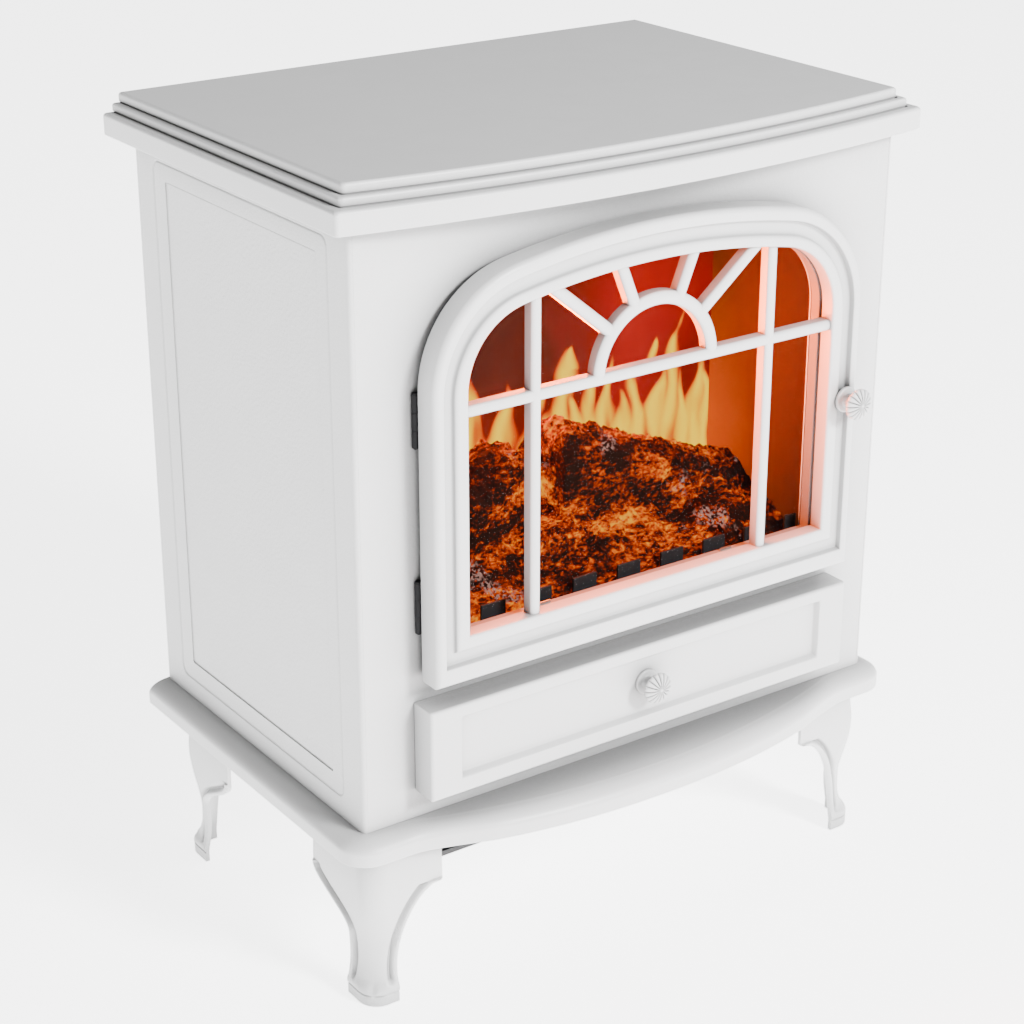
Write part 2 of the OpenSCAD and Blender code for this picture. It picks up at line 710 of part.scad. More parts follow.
module heater_case() difference() {
    union() {
        block([-heater_x, heater_x], heater_y, [base_top, heater_top]);
        block([8 - heater_x, heater_x - 8], [outlet_y[0] + 4, heater_y[0] + 1], [base_top, base_top + 20]);
    }
    block([1.5 - heater_x, heater_x - 1.5], [heater_y[0] + 1.5, heater_y[1] + 1],
          [base_top + 1.5, heater_top - 1.5]);
    block([9.5 - heater_x, heater_x - 9.5], [outlet_y[0] + 5.5, heater_y[0] + 3],
          [base_top + 1.5, base_top + 18.5]);
    block([9.5 - heater_x, heater_x - 9.5], [outlet_y[0] + 5.5, outlet_y[1] - 4],
          [base_top - 1, base_top + 4]);
    rod_x(heater_x - 3, heater_x + 1, blower_y, blower_z, 5);
}

// A ceramic frame with rows of resistance wire
module heating_element() color("peru") {
    y = [-42, -34];
    difference() {
        block([1.5 - heater_x, heater_x - 1.5], y, [base_top + 22, heater_top - 1.5]);
        block([12 - heater_x, heater_x - 12], [y[0] - 1, y[1] + 1], [base_top + 30, heater_top - 10]);
    }
    for (z = [base_top + 35:9:heater_top - 20])
        rod_x(11 - heater_x, heater_x - 11, (y[0] + y[1])/2, z, 1.5);
}

// The drum of the cross-flow fan with its blades and shaft
module blower_wheel() color("dimgray") {
    for (x = [-blower_x, 0, blower_x - 2])
        rod_x(x, x + 2, blower_y, blower_z, blower_r);
    for (a = [0:20:359]) translate([0, blower_y, blower_z]) rotate([a, 0, 0])
        block([0.5 - blower_x, blower_x - 0.5], [-0.6, 0.6], [blower_r - 8, blower_r - 1]);
    rod_x(3 - heater_x, heater_x + 14, blower_y, blower_z, shaft_r);
}

module blower_motor() color("dimgray") difference() {
    union() {
        rod_x(heater_x, heater_x + 26, blower_y, blower_z, 26);
        block([heater_x + 4, heater_x + 22], [blower_y - 18, blower_y + 18], [base_top, blower_z - 20]);
    }
    rod_x(heater_x - 1, heater_x + 16, blower_y, blower_z, shaft_r + run_gap);
}

// The black louvred box that sends the warm air out under the base
module outlet_grille() color("black") difference() {
    block([-outlet_x, outlet_x], outlet_y, [outlet_bottom, base_top - skin]);
    block([2 - outlet_x, outlet_x - 2], [outlet_y[0] + 2, outlet_y[1] - 2], [outlet_bottom + 2, base_top]);
    for (x = [-150:20:150], z = [outlet_bottom + 4, outlet_bottom + 13])
        block([x - 8, x + 8], [outlet_y[0] - 1, outlet_y[0] + 3], [z, z + 5]);
}

module thermal_cutout() color("ivory") rod_z(-60, -10, heater_top, heater_top + 9, 9);

module terminal_block() color("whitesmoke") difference() {
    block([-205, -150], [110, 128], [base_top, base_top + 20]);
    for (x = [-196, -178, -160]) rod_z(x, 119, base_top + 12, base_top + 21, 3);
}

module cord_gland() color("black") difference() {
    union() {
        rod_y(gland_x, body_back, body_back + 3, gland_z, 11);
        rod_y(gland_x, body_back - 9, body_back, gland_z, 8);
    }
    rod_y(gland_x, body_back - 10, body_back + 4, gland_z, cord_r);
}

// ---------- what is drawn ----------

top_panel();
left_side_panel();
right_side_panel();
front_panel();
back_panel();
base_plate();
leg_front_left();
leg_front_right();
leg_back_left();
leg_back_right();
leg_screws();
casing_screws();
door_frame();
fanlight_bars();
door_glass();
glass_retainer();
glass_clips();
glass_clip_screws();
door_knob();
door_knob_screw();
upper_hinge_body_leaf();
upper_hinge_door_leaf();
upper_hinge_pin();
lower_hinge_body_leaf();
lower_hinge_door_leaf();
lower_hinge_pin();
hinge_body_screws();
hinge_door_screws();
door_magnet();
door_strike_plate();
control_cover();
cover_knob();
cover_knob_screw();
cover_hinge_brackets();
cover_magnet();
cover_strike_plate();
control_panel();
switch_housings();
flame_rocker();
low_heat_rocker();
high_heat_rocker();
thermostat_body();
thermostat_dial();
firebox_liner();
log_bed();
ember_rail();
flame_screen();
light_box();
spindle_motor();
flame_spindle();
spindle_bearing();
led_board();
heater_housing();
heating_element();
blower_wheel();
blower_motor();
outlet_grille();
thermal_cutout();
terminal_block();
cord_gland();
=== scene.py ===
"""A free-standing electric fireplace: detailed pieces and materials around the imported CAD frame.

The stove faces -Y and stands on Z = 0. Sizes in this script are in millimetres until a mesh is made.
"""

import json
import math

import bmesh
import bpy
import numpy as np
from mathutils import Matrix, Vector, noise


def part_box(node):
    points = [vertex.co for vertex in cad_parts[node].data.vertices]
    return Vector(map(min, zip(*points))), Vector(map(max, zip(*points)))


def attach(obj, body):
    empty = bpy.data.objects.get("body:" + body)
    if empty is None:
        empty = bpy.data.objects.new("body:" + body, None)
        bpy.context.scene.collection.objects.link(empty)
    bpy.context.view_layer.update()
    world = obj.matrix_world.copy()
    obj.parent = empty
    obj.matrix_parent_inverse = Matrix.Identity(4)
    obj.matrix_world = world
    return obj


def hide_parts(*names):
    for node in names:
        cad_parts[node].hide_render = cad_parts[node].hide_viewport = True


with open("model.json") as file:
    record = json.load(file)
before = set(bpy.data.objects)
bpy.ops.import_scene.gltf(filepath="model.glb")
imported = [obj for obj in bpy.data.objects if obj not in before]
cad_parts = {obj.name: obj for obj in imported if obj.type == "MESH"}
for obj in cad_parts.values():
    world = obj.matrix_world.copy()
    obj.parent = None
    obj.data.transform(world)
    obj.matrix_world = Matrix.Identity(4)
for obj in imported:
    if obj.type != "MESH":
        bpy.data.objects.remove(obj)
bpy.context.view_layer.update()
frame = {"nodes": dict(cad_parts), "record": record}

MM = 0.001
SHARP = math.radians(32)
MANY_FACES = 40000  # a mesh with more faces than this keeps its plain smooth shading


def span(node):
    """The lowest and highest corner of a CAD node, in millimetres."""
    lo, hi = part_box(node)
    return np.array(lo) / MM, np.array(hi) / MM


# ---------- mesh helpers ----------


def put_in_scene(name, data):
    """A new object that shows a mesh, curve, camera or light."""
    made = bpy.data.objects.new(name, data)
    bpy.context.scene.collection.objects.link(made)
    return made


def mesh_object(name, verts, faces):
    """An object from points in millimetres."""
    mesh = bpy.data.meshes.new(name)
    mesh.from_pydata([tuple(v) for v in np.asarray(verts, float) * MM], [], faces)
    return put_in_scene(name, mesh)


def make_piece(name, verts, faces, material, body, node, sharp=SHARP):
    """A smooth mesh piece, given in millimetres, that stands for a CAD node and rides on its body."""
    piece = mesh_object(name, verts, faces)
    finish_mesh(piece, sharp)
    dress(piece, material, body, node)
    return piece


def finish_mesh(piece, sharp=SHARP):
    """Merges doubled points, turns the faces outwards and smooths all but the sharp edges."""
    work = bmesh.new()
    work.from_mesh(piece.data)
    bmesh.ops.remove_doubles(work, verts=work.verts, dist=1e-6)
    bmesh.ops.dissolve_degenerate(work, edges=work.edges, dist=1e-7)
    bmesh.ops.recalc_face_normals(work, faces=work.faces)
    for face in work.faces:
        face.smooth = True
    for edge in work.edges:
        if len(edge.link_faces) == 2:
            edge.smooth = edge.calc_face_angle(0) < sharp
    work.to_mesh(piece.data)
    work.free()


def dress(piece, material, body, node):
    """Gives a piece its finish, its body and the CAD node it stands for."""
    piece.data.materials.clear()
    piece.data.materials.append(material)
    if len(piece.data.polygons) < MANY_FACES:
        even = piece.modifiers.new("even_shading", "WEIGHTED_NORMAL")
        even.keep_sharp = True
    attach(piece, body)
    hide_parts(node)


def soften(piece, width, angle=30):
    """Rounds the edges that turn by more than an angle in degrees. The width is in millimetres."""
    edge = piece.modifiers.new("soft_edges", "BEVEL")
    edge.width = width * MM
    edge.segments = 2
    edge.limit_method = "ANGLE"
    edge.angle_limit = math.radians(angle)


def loft(rings, loop=False):
    """Skins rings of equal length. A loop joins the last ring to the first; without it both ends close."""
    count, last = len(rings[0]), len(rings) - 1
    faces = []
    for k in range(len(rings) if loop else last):
        a, b = k * count, ((k + 1) % len(rings)) * count
        for i in range(count):
            j = (i + 1) % count
            faces.append((a + i, a + j, b + j, b + i))
    if not loop:
        faces += [tuple(range(start, start + count)) for start in (0, last * count)]
    return np.concatenate(rings), faces


class Shape:
    """Collects several solids into one mesh."""

    def __init__(self):
        self.verts, self.faces = [], []

    def add(self, verts, faces):
        start = len(self.verts)
        self.verts += [tuple(v) for v in verts]
        self.faces += [tuple(start + i for i in f) for f in faces]
        return self

    def box(self, lo, hi, chamfer=0.0):
        """A block whose edges are cut by a small chamfer."""
        work = bmesh.new()
        bmesh.ops.create_cube(work, size=1.0)
        lo, hi = np.array(lo, float), np.array(hi, float)
        for v in work.verts:
            v.co = Vector((lo + hi) / 2 + np.array(v.co) * (hi - lo))
        if chamfer:
            edges = list(work.edges)
            bmesh.ops.bevel(work, geom=edges, offset=chamfer, segments=2, profile=0.6, affect="EDGES")
        work.verts.ensure_lookup_table()
        self.add([v.co[:] for v in work.verts], [tuple(v.index for v in f.verts) for f in work.faces])
        work.free()
        return self


def unit(value):
    """The value held between 0 and 1."""
    return max(0.0, min(1.0, value))


def turns(a0, a1, count):
    """Sine and cosine at evenly spaced angles, given in degrees."""
    return [(math.sin(a), math.cos(a)) for a in np.radians(np.linspace(a0, a1, count))]


def grid_faces(nx, ny):
    """Faces for rows of nx points."""
    starts = [j * nx + i for j in range(ny - 1) for i in range(nx - 1)]
    return [(k, k + 1, k + nx + 1, k + nx) for k in starts]


def arc(cx, cy, r, a0, a1, steps):
    """Points on a circle between two angles, in degrees, ends included."""
    angles = np.radians(np.linspace(a0, a1, steps + 1))
    return np.column_stack([cx + r * np.cos(angles), cy + r * np.sin(angles)])


def line(p, q, steps):
    """Points from p towards q, without q."""
    t = np.linspace(0, 1, steps, endpoint=False)[:, None]
    return np.array(p) * (1 - t) + np.array(q) * t


def arch(hw, low, crown, r, bow_r, side=14, corner=18, top=36, bottom=24):
    """An outline with a straight foot and sides, round shoulders and a long flat arch."""
    bow_z = crown - bow_r
    cx = hw - r
    cz = bow_z + math.sqrt((bow_r - r) ** 2 - cx**2)
    lean = math.degrees(math.atan2(cx, cz - bow_z))
    return np.concatenate(
        [
            line((-hw, low), (-hw, cz), side),
            arc(-cx, cz, r, 180, 90 + lean, corner)[:-1],
            arc(0, bow_z, bow_r, 90 + lean, 90 - lean, top)[:-1],
            arc(cx, cz, r, 90 - lean, 0, corner)[:-1],
            line((hw, cz), (hw, low), side),
            line((hw, low), (-hw, low), bottom),
        ]
    )


def round_rect(x0, x1, y0, y1, r, corner=6, side=6):
    """A rectangle with round corners, anticlockwise from the lower left."""
    r = max(r, 0.01)
    parts = []
    corners = [(x0 + r, y0 + r, 180), (x1 - r, y0 + r, 270), (x1 - r, y1 - r, 0), (x0 + r, y1 - r, 90)]
    for k, (cx, cy, a) in enumerate(corners):
        turn = arc(cx, cy, r, a, a + 90, corner)
        nx, ny, na = corners[(k + 1) % 4]
        following = arc(nx, ny, r, na, na + 90, corner)[0]
        parts += [turn[:-1], line(turn[-1], following, side)]
    return np.concatenate(parts)


def at_y(points, y):
    """Outline points in X and Z, placed at a depth."""
    return np.column_stack([points[:, 0], np.full(len(points), y), points[:, 1]])


def at_x(points, x):
    """Outline points in Y and Z, placed at an X."""
    return np.column_stack([np.full(len(points), x), points[:, 0], points[:, 1]])


def at_z(points, z):
    """Outline points in X and Y, placed at a height."""
    return np.column_stack([points, np.full(len(points), z)])


def finished_mesh(source):
    """A new mesh of an object with its modifiers or its curve worked out."""
    return bpy.data.meshes.new_from_object(source.evaluated_get(bpy.context.evaluated_depsgraph_get()))


def union(objects):
    """One mesh from several overlapping solids."""
    base = objects[0]
    for other in objects[1:]:
        cut = base.modifiers.new("union", "BOOLEAN")
        cut.operation = "UNION"
        cut.solver = "EXACT"
        cut.object = other
        shape = finished_mesh(base)
        base.modifiers.clear()
        base.data = shape
        bpy.data.objects.remove(other)
    return base


def loose(verts, faces):
    """A helper solid that isn't a piece yet."""
    piece = mesh_object("part", verts, faces)
    finish_mesh(piece)
    return piece


# ---------- materials ----------


class Nodes:
    """A short way to write a material's node tree."""

    def __init__(self, name):
        self.material = bpy.data.materials.new(name)
        self.material.use_nodes = True
        self.tree = self.material.node_tree
        self.shader = self.tree.nodes["Principled BSDF"]
        self.place = self.add("ShaderNodeTexCoord").outputs["Object"]

    def add(self, kind, **values):
        node = self.tree.nodes.new(kind)
        for key, value in values.items():
            setattr(node, key, value)
        return node

    def link(self, source, target):
        self.tree.links.new(source, target)

    def feed(self, source, socket):
        """Links an output to one of the shader's sockets."""
        self.link(source, self.shader.inputs[socket])

    def set(self, **values):
        for key, value in values.items():
            self.shader.inputs[key].default_value = value

    def stretched(self, factors):
        mapping = self.add("ShaderNodeMapping")
        mapping.inputs["Scale"].default_value = factors
        self.link(self.place, mapping.inputs["Vector"])
        return mapping.outputs["Vector"]

    def noise(self, scale, detail=3.0, rough=0.5, warp=0.0, vector=None):
        node = self.add("ShaderNodeTexNoise")
        node.inputs["Scale"].default_value = scale
        node.inputs["Detail"].default_value = detail
        node.inputs["Roughness"].default_value = rough
        node.inputs["Distortion"].default_value = warp
        self.link(vector or self.place, node.inputs["Vector"])
        return node.outputs["Fac"]

    def voronoi(self, scale, feature="F1"):
        node = self.add("ShaderNodeTexVoronoi", feature=feature)
        node.inputs["Scale"].default_value = scale
        self.link(self.place, node.inputs["Vector"])
        return node.outputs["Distance"]

    def ramp(self, source, stops):
        node = self.add("ShaderNodeValToRGB")
        elements = node.color_ramp.elements
        while len(elements) < len(stops):
            elements.new(0.5)
        for element, (place, colour) in zip(elements, stops):
            element.position = place
            if isinstance(colour, (int, float)):
                colour = (colour,) * 3
            element.color = (*colour, 1)
        self.link(source, node.inputs["Fac"])
        return node.outputs["Color"]

    def math(self, operation, a, b):
        node = self.add("ShaderNodeMath", operation=operation)
        for socket, value in zip(node.inputs, (a, b)):
            if isinstance(value, (int, float)):
                socket.default_value = value
            else:
                self.link(value, socket)
        return node.outputs[0]

    def mix(self, factor, a, b, blend="MIX"):
        node = self.add("ShaderNodeMix", data_type="RGBA", blend_type=blend)
        for socket, value in zip((node.inputs[0], node.inputs[6], node.inputs[7]), (factor, a, b)):
            if isinstance(value, (int, float)):
                socket.default_value = value
            elif isinstance(value, tuple):
                socket.default_value = (*value, 1)
            else:
                self.link(value, socket)
        return node.outputs[2]

    def stirred(self, base, texture, amount):
        """The base with a texture laid over it, as much down as up."""
        shift = self.math("SUBTRACT", texture, 0.5)
        return self.math("ADD", base, self.math("MULTIPLY", shift, amount))

    def blend_range(self, source, start, end):
        """0 where the source is at start, 1 where it is at end."""
        node = self.add("ShaderNodeMapRange")
        node.inputs["From Min"].default_value = start
        node.inputs["From Max"].default_value = end
        self.link(source, node.inputs["Value"])
        return node.outputs[0]

    def bump(self, height, strength, distance, normal=None):
        node = self.add("ShaderNodeBump")
        node.inputs["Strength"].default_value = strength
        node.inputs["Distance"].default_value = distance
        self.link(height, node.inputs["Height"])
        if normal:
            self.link(normal, node.inputs["Normal"])
        self.link(node.outputs["Normal"], self.shader.inputs["Normal"])
        return node.outputs["Normal"]


def speckled(name, colour, rough, grain, depth, metallic=0.0, change=0.04, **shader):
    """A plain finish with a fine grain, slow changes of tone and uneven gloss."""
    n = Nodes(name)
    slow = n.noise(14, detail=4)
    dark = tuple(c * (1 - change) for c in colour)
    light = tuple(min(1.0, c * (1 + change)) for c in colour)
    n.feed(n.ramp(slow, [(0.35, dark), (0.65, light)]), "Base Color")
    gloss = n.ramp(n.noise(45, detail=5, rough=0.6), [(0.3, rough * 0.88), (0.7, min(1.0, rough * 1.12))])
    n.feed(gloss, "Roughness")
    n.set(Metallic=metallic, **shader)
    n.bump(n.noise(grain, detail=2), 0.35, depth)
    return n.material


WHITE = (0.62, 0.62, 0.62)
PAINTED_SHADE_REACH = 0.042  # how far the corner shading looks, in metres


def powder_coat(name, grain, depth, rough):
    """White powder coat: an orange-peel surface and satin, with painted shade that darkens the colour in
    corners, grooves and under overhangs.
    """
    n = Nodes(name)
    slow = n.noise(9, detail=5, rough=0.6)
    tone = n.ramp(slow, [(0.3, tuple(c * 0.985 for c in WHITE)), (0.7, WHITE)])
    # painted shade: an ambient-occlusion node darkens the colour wherever other surfaces are near
    near = n.add("ShaderNodeAmbientOcclusion", samples=6)
    near.inputs["Distance"].default_value = PAINTED_SHADE_REACH
    shade = n.ramp(near.outputs["AO"], [(0.12, 0.16), (0.50, 0.56), (0.92, 1.0)])
    n.feed(n.mix(1.0, tone, shade, blend="MULTIPLY"), "Base Color")
    gloss = n.ramp(n.noise(60, detail=4), [(0.3, rough - 0.04), (0.7, rough + 0.05)])
    n.feed(gloss, "Roughness")
    n.set(**{"Specular IOR Level": 0.45, "Coat Weight": 0.08, "Coat Roughness": 0.25})
    first = n.bump(n.noise(grain, detail=1.5), 0.5, depth)
    n.bump(n.noise(35, detail=2), 0.25, 0.0002, normal=first)
    return n.material


def brushed(name, colour, rough, along=(1, 40, 40)):
    """Bare metal with fine streaks along one axis."""
    n = Nodes(name)
    streak = n.noise(220, detail=3, vector=n.stretched(along))
    dull = tuple(c * 0.85 for c in colour)
    n.feed(n.ramp(n.noise(30, detail=4), [(0.3, dull), (0.7, colour)]), "Base Color")
    n.feed(n.ramp(streak, [(0.3, rough * 0.8), (0.7, rough * 1.25)]), "Roughness")
    n.set(Metallic=1.0)
    n.bump(streak, 0.2, 0.00005)
    return n.material


def galvanised(name):
    """Zinc-coated sheet with its flakes."""
    n = Nodes(name)
    flakes = n.voronoi(70)
    tones = [(0.0, (0.42, 0.44, 0.45)), (0.5, (0.6, 0.61, 0.61)), (1.0, (0.7, 0.71, 0.7))]
    n.feed(n.ramp(flakes, tones), "Base Color")
    n.feed(n.ramp(flakes, [(0.0, 0.32), (1.0, 0.52)]), "Roughness")
    n.set(Metallic=0.9)
    n.bump(n.noise(400), 0.15, 0.0001)
    return n.material


def clear_glass():
    """Window glass: nearly all of the fire shows through a slight, uneven gloss."""
    n = Nodes("clear_glass")
    n.set(**{"Base Color": (0.006, 0.007, 0.007, 1), "Alpha": 0.03})
    n.set(**{"IOR": 1.45, "Specular IOR Level": 0.12})
    n.feed(n.ramp(n.noise(18, detail=5), [(0.35, 0.02), (0.75, 0.07)]), "Roughness")
    return n.material


def ember_material():
    """Moulded resin logs and embers: char, rust, glowing orange and pale ash, lit from within."""
    n = Nodes("ember_resin")
    grain = n.stretched((0.55, 1, 1.2))
    patch = n.noise(40, detail=4, rough=0.6, warp=0.4, vector=grain)
    fine = n.noise(330, detail=5, rough=0.72, warp=0.4, vector=grain)
    cracks = n.voronoi(95, feature="DISTANCE_TO_EDGE")
    heat = n.math("ADD", n.math("MULTIPLY", patch, 0.72), n.math("MULTIPLY", fine, 0.66))
    lines = n.ramp(cracks, [(0.0, 0.05), (0.08, 0.0)])
    heat = n.math("SUBTRACT", n.math("ADD", heat, lines), 0.175)
    colour = n.ramp(
        heat,
        [
            (0.46, (0.006, 0.002, 0.002)),
            (0.51, (0.04, 0.003, 0.001)),
            (0.55, (0.22, 0.012, 0.0)),
            (0.595, (0.72, 0.055, 0.0)),
            (0.65, (1.0, 0.19, 0.0)),
            (0.73, (1.2, 0.50, 0.01)),
        ],
    )
    ash = n.ramp(n.noise(27, detail=3, rough=0.5, warp=0.4), [(0.63, 0.0), (0.69, 1.0)])
    ash = n.math("MULTIPLY", ash, n.ramp(n.noise(420, detail=3), [(0.48, 0.0), (0.56, 0.85)]))
    colour = n.mix(ash, colour, (0.50, 0.26, 0.21))
    n.feed(n.mix(0.985, colour, (0.006, 0.002, 0.001)), "Base Color")
    n.feed(colour, "Emission Color")
    n.set(**{"Emission Strength": 0.95, "Roughness": 0.9, "Specular IOR Level": 0.01})
    first = n.bump(n.noise(300, detail=5, rough=0.7), 0.6, 0.0008)
    n.bump(n.voronoi(120), 0.5, 0.0015, normal=first)
    return n.material


def flame_material():
    """The lit screen: its colour and light follow the heat and glow stored with each point."""
    n = Nodes("flame_picture")
    heat = n.add("ShaderNodeAttribute", attribute_name="burn").outputs["Fac"]
    glow = n.add("ShaderNodeAttribute", attribute_name="glow").outputs["Fac"]
    soft = n.noise(55, detail=4, rough=0.6, vector=n.stretched((1.6, 1, 0.5)))
    back = n.stirred(glow, soft, 0.22)
    night = n.ramp(
        back,
        [
            (0.0, (0.045, 0.004, 0.0)),
            (0.35, (0.15, 0.010, 0.0)),
            (0.7, (0.40, 0.004, 0.001)),
            (1.0, (0.62, 0.003, 0.0)),
        ],
    )
    flame = n.ramp(
        heat,
        [
            (0.0, (0.55, 0.012, 0.0)),
            (0.22, (0.85, 0.06, 0.0)),
            (0.38, (1.05, 0.19, 0.0)),
            (0.55, (1.35, 0.48, 0.0)),
            (0.72, (1.5, 0.74, 0.0)),
            (1.0, (1.75, 1.02, 0.0)),
        ],
    )
    colour = n.mix(n.ramp(heat, [(0.02, 0.0), (0.22, 1.0)]), night, flame)
    n.feed(colour, "Emission Color")
    n.set(**{"Base Color": (0.008, 0.002, 0.001, 1), "Emission Strength": 1.0})
    n.set(**{"Roughness": 0.6, "Specular IOR Level": 0.05})
    n.bump(n.noise(500), 0.1, 0.00005)
    return n.material


def liner_material():
    """Dark red firebox paint with painted fire light: an orange emission that grows towards the screen and
    low down.
    """
    n = Nodes("firebox_paint")
    split = n.add("ShaderNodeSeparateXYZ")
    n.link(n.place, split.inputs["Vector"])
    # painted light: the fire's light on the walls is painted into the emission, by depth and by height
    depth = n.blend_range(split.outputs["Y"], -0.118, -0.016)
    drop = n.blend_range(split.outputs["Z"], 0.50, 0.33)
    painted_fire_light = n.math("MULTIPLY", depth, n.math("ADD", n.math("MULTIPLY", drop, 0.75), 0.25))
    painted_fire_light = n.stirred(painted_fire_light, n.noise(25, detail=4), 0.12)
    lit = [(0.0, (0.05, 0.009, 0.001)), (0.45, (0.24, 0.028, 0.0)), (1.0, (1.0, 0.10, 0.0))]
    n.feed(n.ramp(painted_fire_light, lit), "Emission Color")
    paint = [(0.3, (0.016, 0.003, 0.001)), (0.7, (0.026, 0.004, 0.001))]
    n.feed(n.ramp(n.noise(200), paint), "Base Color")
    n.set(**{"Emission Strength": 0.9, "Roughness": 0.8, "Specular IOR Level": 0.08})
    n.bump(n.noise(700), 0.3, 0.0001)
    return n.material


GLOSSY, GLOSSIER = {"Coat Weight": 0.3}, {"Coat Weight": 0.4}
FINISH = {
    "white_sheet": powder_coat("white_sheet_coat", 520, 0.0006, 0.46),
    "white_moulding": powder_coat("white_moulding_coat", 1100, 0.00012, 0.42),
    "white_casting": powder_coat("white_casting_coat", 900, 0.0002, 0.42),
    "black_steel": speckled(
        "black_steel", (0.010, 0.010, 0.011), 0.5, 900, 0.0001, **{"Specular IOR Level": 0.1}),
    "zinc_steel": brushed("zinc_plate", (0.6, 0.6, 0.58), 0.34),
    "grey_gasket": speckled("grey_gasket", (0.16, 0.155, 0.15), 0.6, 500, 0.0002),
    "black_plastic": speckled("black_plastic", (0.014, 0.014, 0.015), 0.5, 800, 0.0002),
    "red_plastic": speckled("red_plastic", (0.5, 0.02, 0.015), 0.25, 500, 0.00005, **GLOSSIER),
    "grey_plastic": speckled("grey_plastic", (0.09, 0.09, 0.095), 0.3, 500, 0.00005, **GLOSSY),
    "pale_plastic": speckled("pale_plastic", (0.68, 0.67, 0.63), 0.45, 700, 0.0001),
    "galvanised_steel": galvanised("galvanised_sheet"),
    "foil_brass": brushed("foil_brass", (0.85, 0.62, 0.25), 0.16, along=(40, 1, 40)),
    "circuit_green": speckled("board_green", (0.02, 0.16, 0.06), 0.35, 600, 0.0001, change=0.15),
    "ceramic": speckled("fired_ceramic", (0.66, 0.55, 0.42), 0.7, 400, 0.0003, change=0.1),
    "clear_glass": clear_glass(),
    "log_resin": ember_material(),
    "flame_acrylic": flame_material(),
    "firebox_paint": liner_material(),
}
SHEET, MOULDING, CASTING = FINISH["white_sheet"], FINISH["white_moulding"], FINISH["white_casting"]

SOFTENED = (
    "upper_hinge_body_leaf", "lower_hinge_body_leaf", "upper_hinge_door_leaf", "lower_hinge_door_leaf",
    "door_strike_plate", "cover_strike_plate", "flame_rocker", "low_heat_rocker", "high_heat_rocker",
    "thermostat_dial", "control_panel", "switch_housings", "cord_gland",
)


def finish_cad_nodes():
    """Every CAD node that stays in view gets its slot's finish."""
    for part in frame["record"]["subparts"]:
        shown = frame["nodes"][part["node"]]
        material = FINISH[part["material_slot"]]
        if shown.material_slots:
            for place in shown.material_slots:
                place.link = "OBJECT"
                place.material = material
        else:
            shown.data.materials.append(material)
        if part["node"] in SOFTENED:
            soften(shown, 0.25, angle=50)


# ---------- top panel ----------


def bow_outline(hw, back, front, r, bow_r):
    """A plan outline with a bowed front, round front corners and a straight back: an arch turned over."""
    return arch(hw, -back, -front, r, bow_r, side=10, corner=8, top=48, bottom=24) * (1, -1)


def build_top():
    """Three stepped mouldings under a flat top, hollow below."""
    lo, hi = span("top_panel")
    top, low, back, band = hi[2], lo[2], hi[1], hi[0]
    # each step: half width, front, radius of its bow, foot, top, radius of its upper edge
    steps = [
        (band, lo[1], 1360, low, top - 13, 2.6),
        (band - 7.3, lo[1] + 8, 1330, top - 13, top - 7, 2.0),
        (band - 12.6, lo[1] + 14, 1300, top - 7, top, 2.4),
    ]
    wall, corner = 4, 3.2
    rings = []

    def ring(inset, step, z, rear):
        hw, front, bow_r = step[:3]
        plan = bow_outline(hw - inset, back - rear, front + inset, corner + 0.2 * inset, bow_r - inset)
        rings.append(at_z(plan, z))

    first = steps[0]
    ring(wall + 12, first, low + 12, 2)
    ring(wall, first, low + 12, 2)
    ring(wall, first, low + 0.6, 2)
    ring(wall - 0.6, first, low, 1.6)
    ring(1.0, first, low, 1.0)
    for inset, rise in ((0.5, 0.15), (0.15, 0.5), (0.0, 1.0)):
        ring(inset, first, low + rise, inset)
    for k, step in enumerate(steps):
        z0, z1, r = step[3:]
        if k:
            ring(0.55, step, z0 - 0.9, 0.6)
            for inset, rise in ((0.5, 0.1), (0.12, 0.5), (0.0, 1.0)):
                ring(inset, step, z0 + rise, inset)
        for sin, cos in turns(0, 90, 7):
            inset = r * (1 - cos)
            ring(inset, step, z1 - r + r * sin, 0.6 * inset)
        if k < 2:
            gap = step[0] - steps[k + 1][0]
            ring(gap - 0.7, step, z1, 0.65 * r)
            ring(gap - 0.1, step, z1 - 0.9, 0.65 * r)
    make_piece("top_panel_moulded", *loft(rings), MOULDING, "casing", "top_panel")


# ---------- casing sheets ----------


def grow(insets, d):
    """Every inset made larger by the same amount."""
    return tuple(v + d for v in insets)


def build_side(side):
    """A side sheet with a rolled groove and a sunk field, round at its front corner."""
    node = "left_side_panel" if side < 0 else "right_side_panel"
    lo, hi = span(node)
    out = max(abs(lo[0]), abs(hi[0])) * side
    front, back, low, top = span("front_panel")[0][1], hi[1], lo[2], hi[2]
    corner, sheet = 3.2, 1.5

    def plate(cuts, r, depth):
        left, right, bottom, above = cuts
        outline = round_rect(front + left, back - right, low + bottom, top - above, r)
        return at_x(outline, out - side * depth)

    edge, groove, field = (corner, 0, 0, 0), (25, 24, 15, 21), (39, 42, 30.5, 34.5)
    rings = [plate(edge, 0, sheet), plate(edge, 0, 0), plate(groove, 8.0, 0)]
    for d, r, depth in ((0.5, 7.6, 0.55), (1.2, 7.2, 0.8), (1.9, 6.8, 0.55), (2.6, 6.4, 0.12)):
        rings.append(plate(grow(groove, d), r, depth))
    rings.append(plate(field, 2.0, 0.12))
    for d, r, depth in ((0.15, 1.8, 0.9), (0.75, 1.5, 1.25), (1.5, 1.5, 0.85)):
        rings.append(plate(grow(field, d), r, depth))
    shape = Shape()
    shape.add(*loft(rings))
    flank = 180 if side < 0 else 360
    outer, inside = (
        arc(out - side * corner, front + corner, r, flank, 270, 8) for r in (corner, corner - sheet))
    section = np.concatenate([outer, inside[::-1]])
    shape.add(*loft([at_z(section, low), at_z(section, top)]))
    make_piece(node + "_pressed", shape.verts, shape.faces, SHEET, "casing", node)


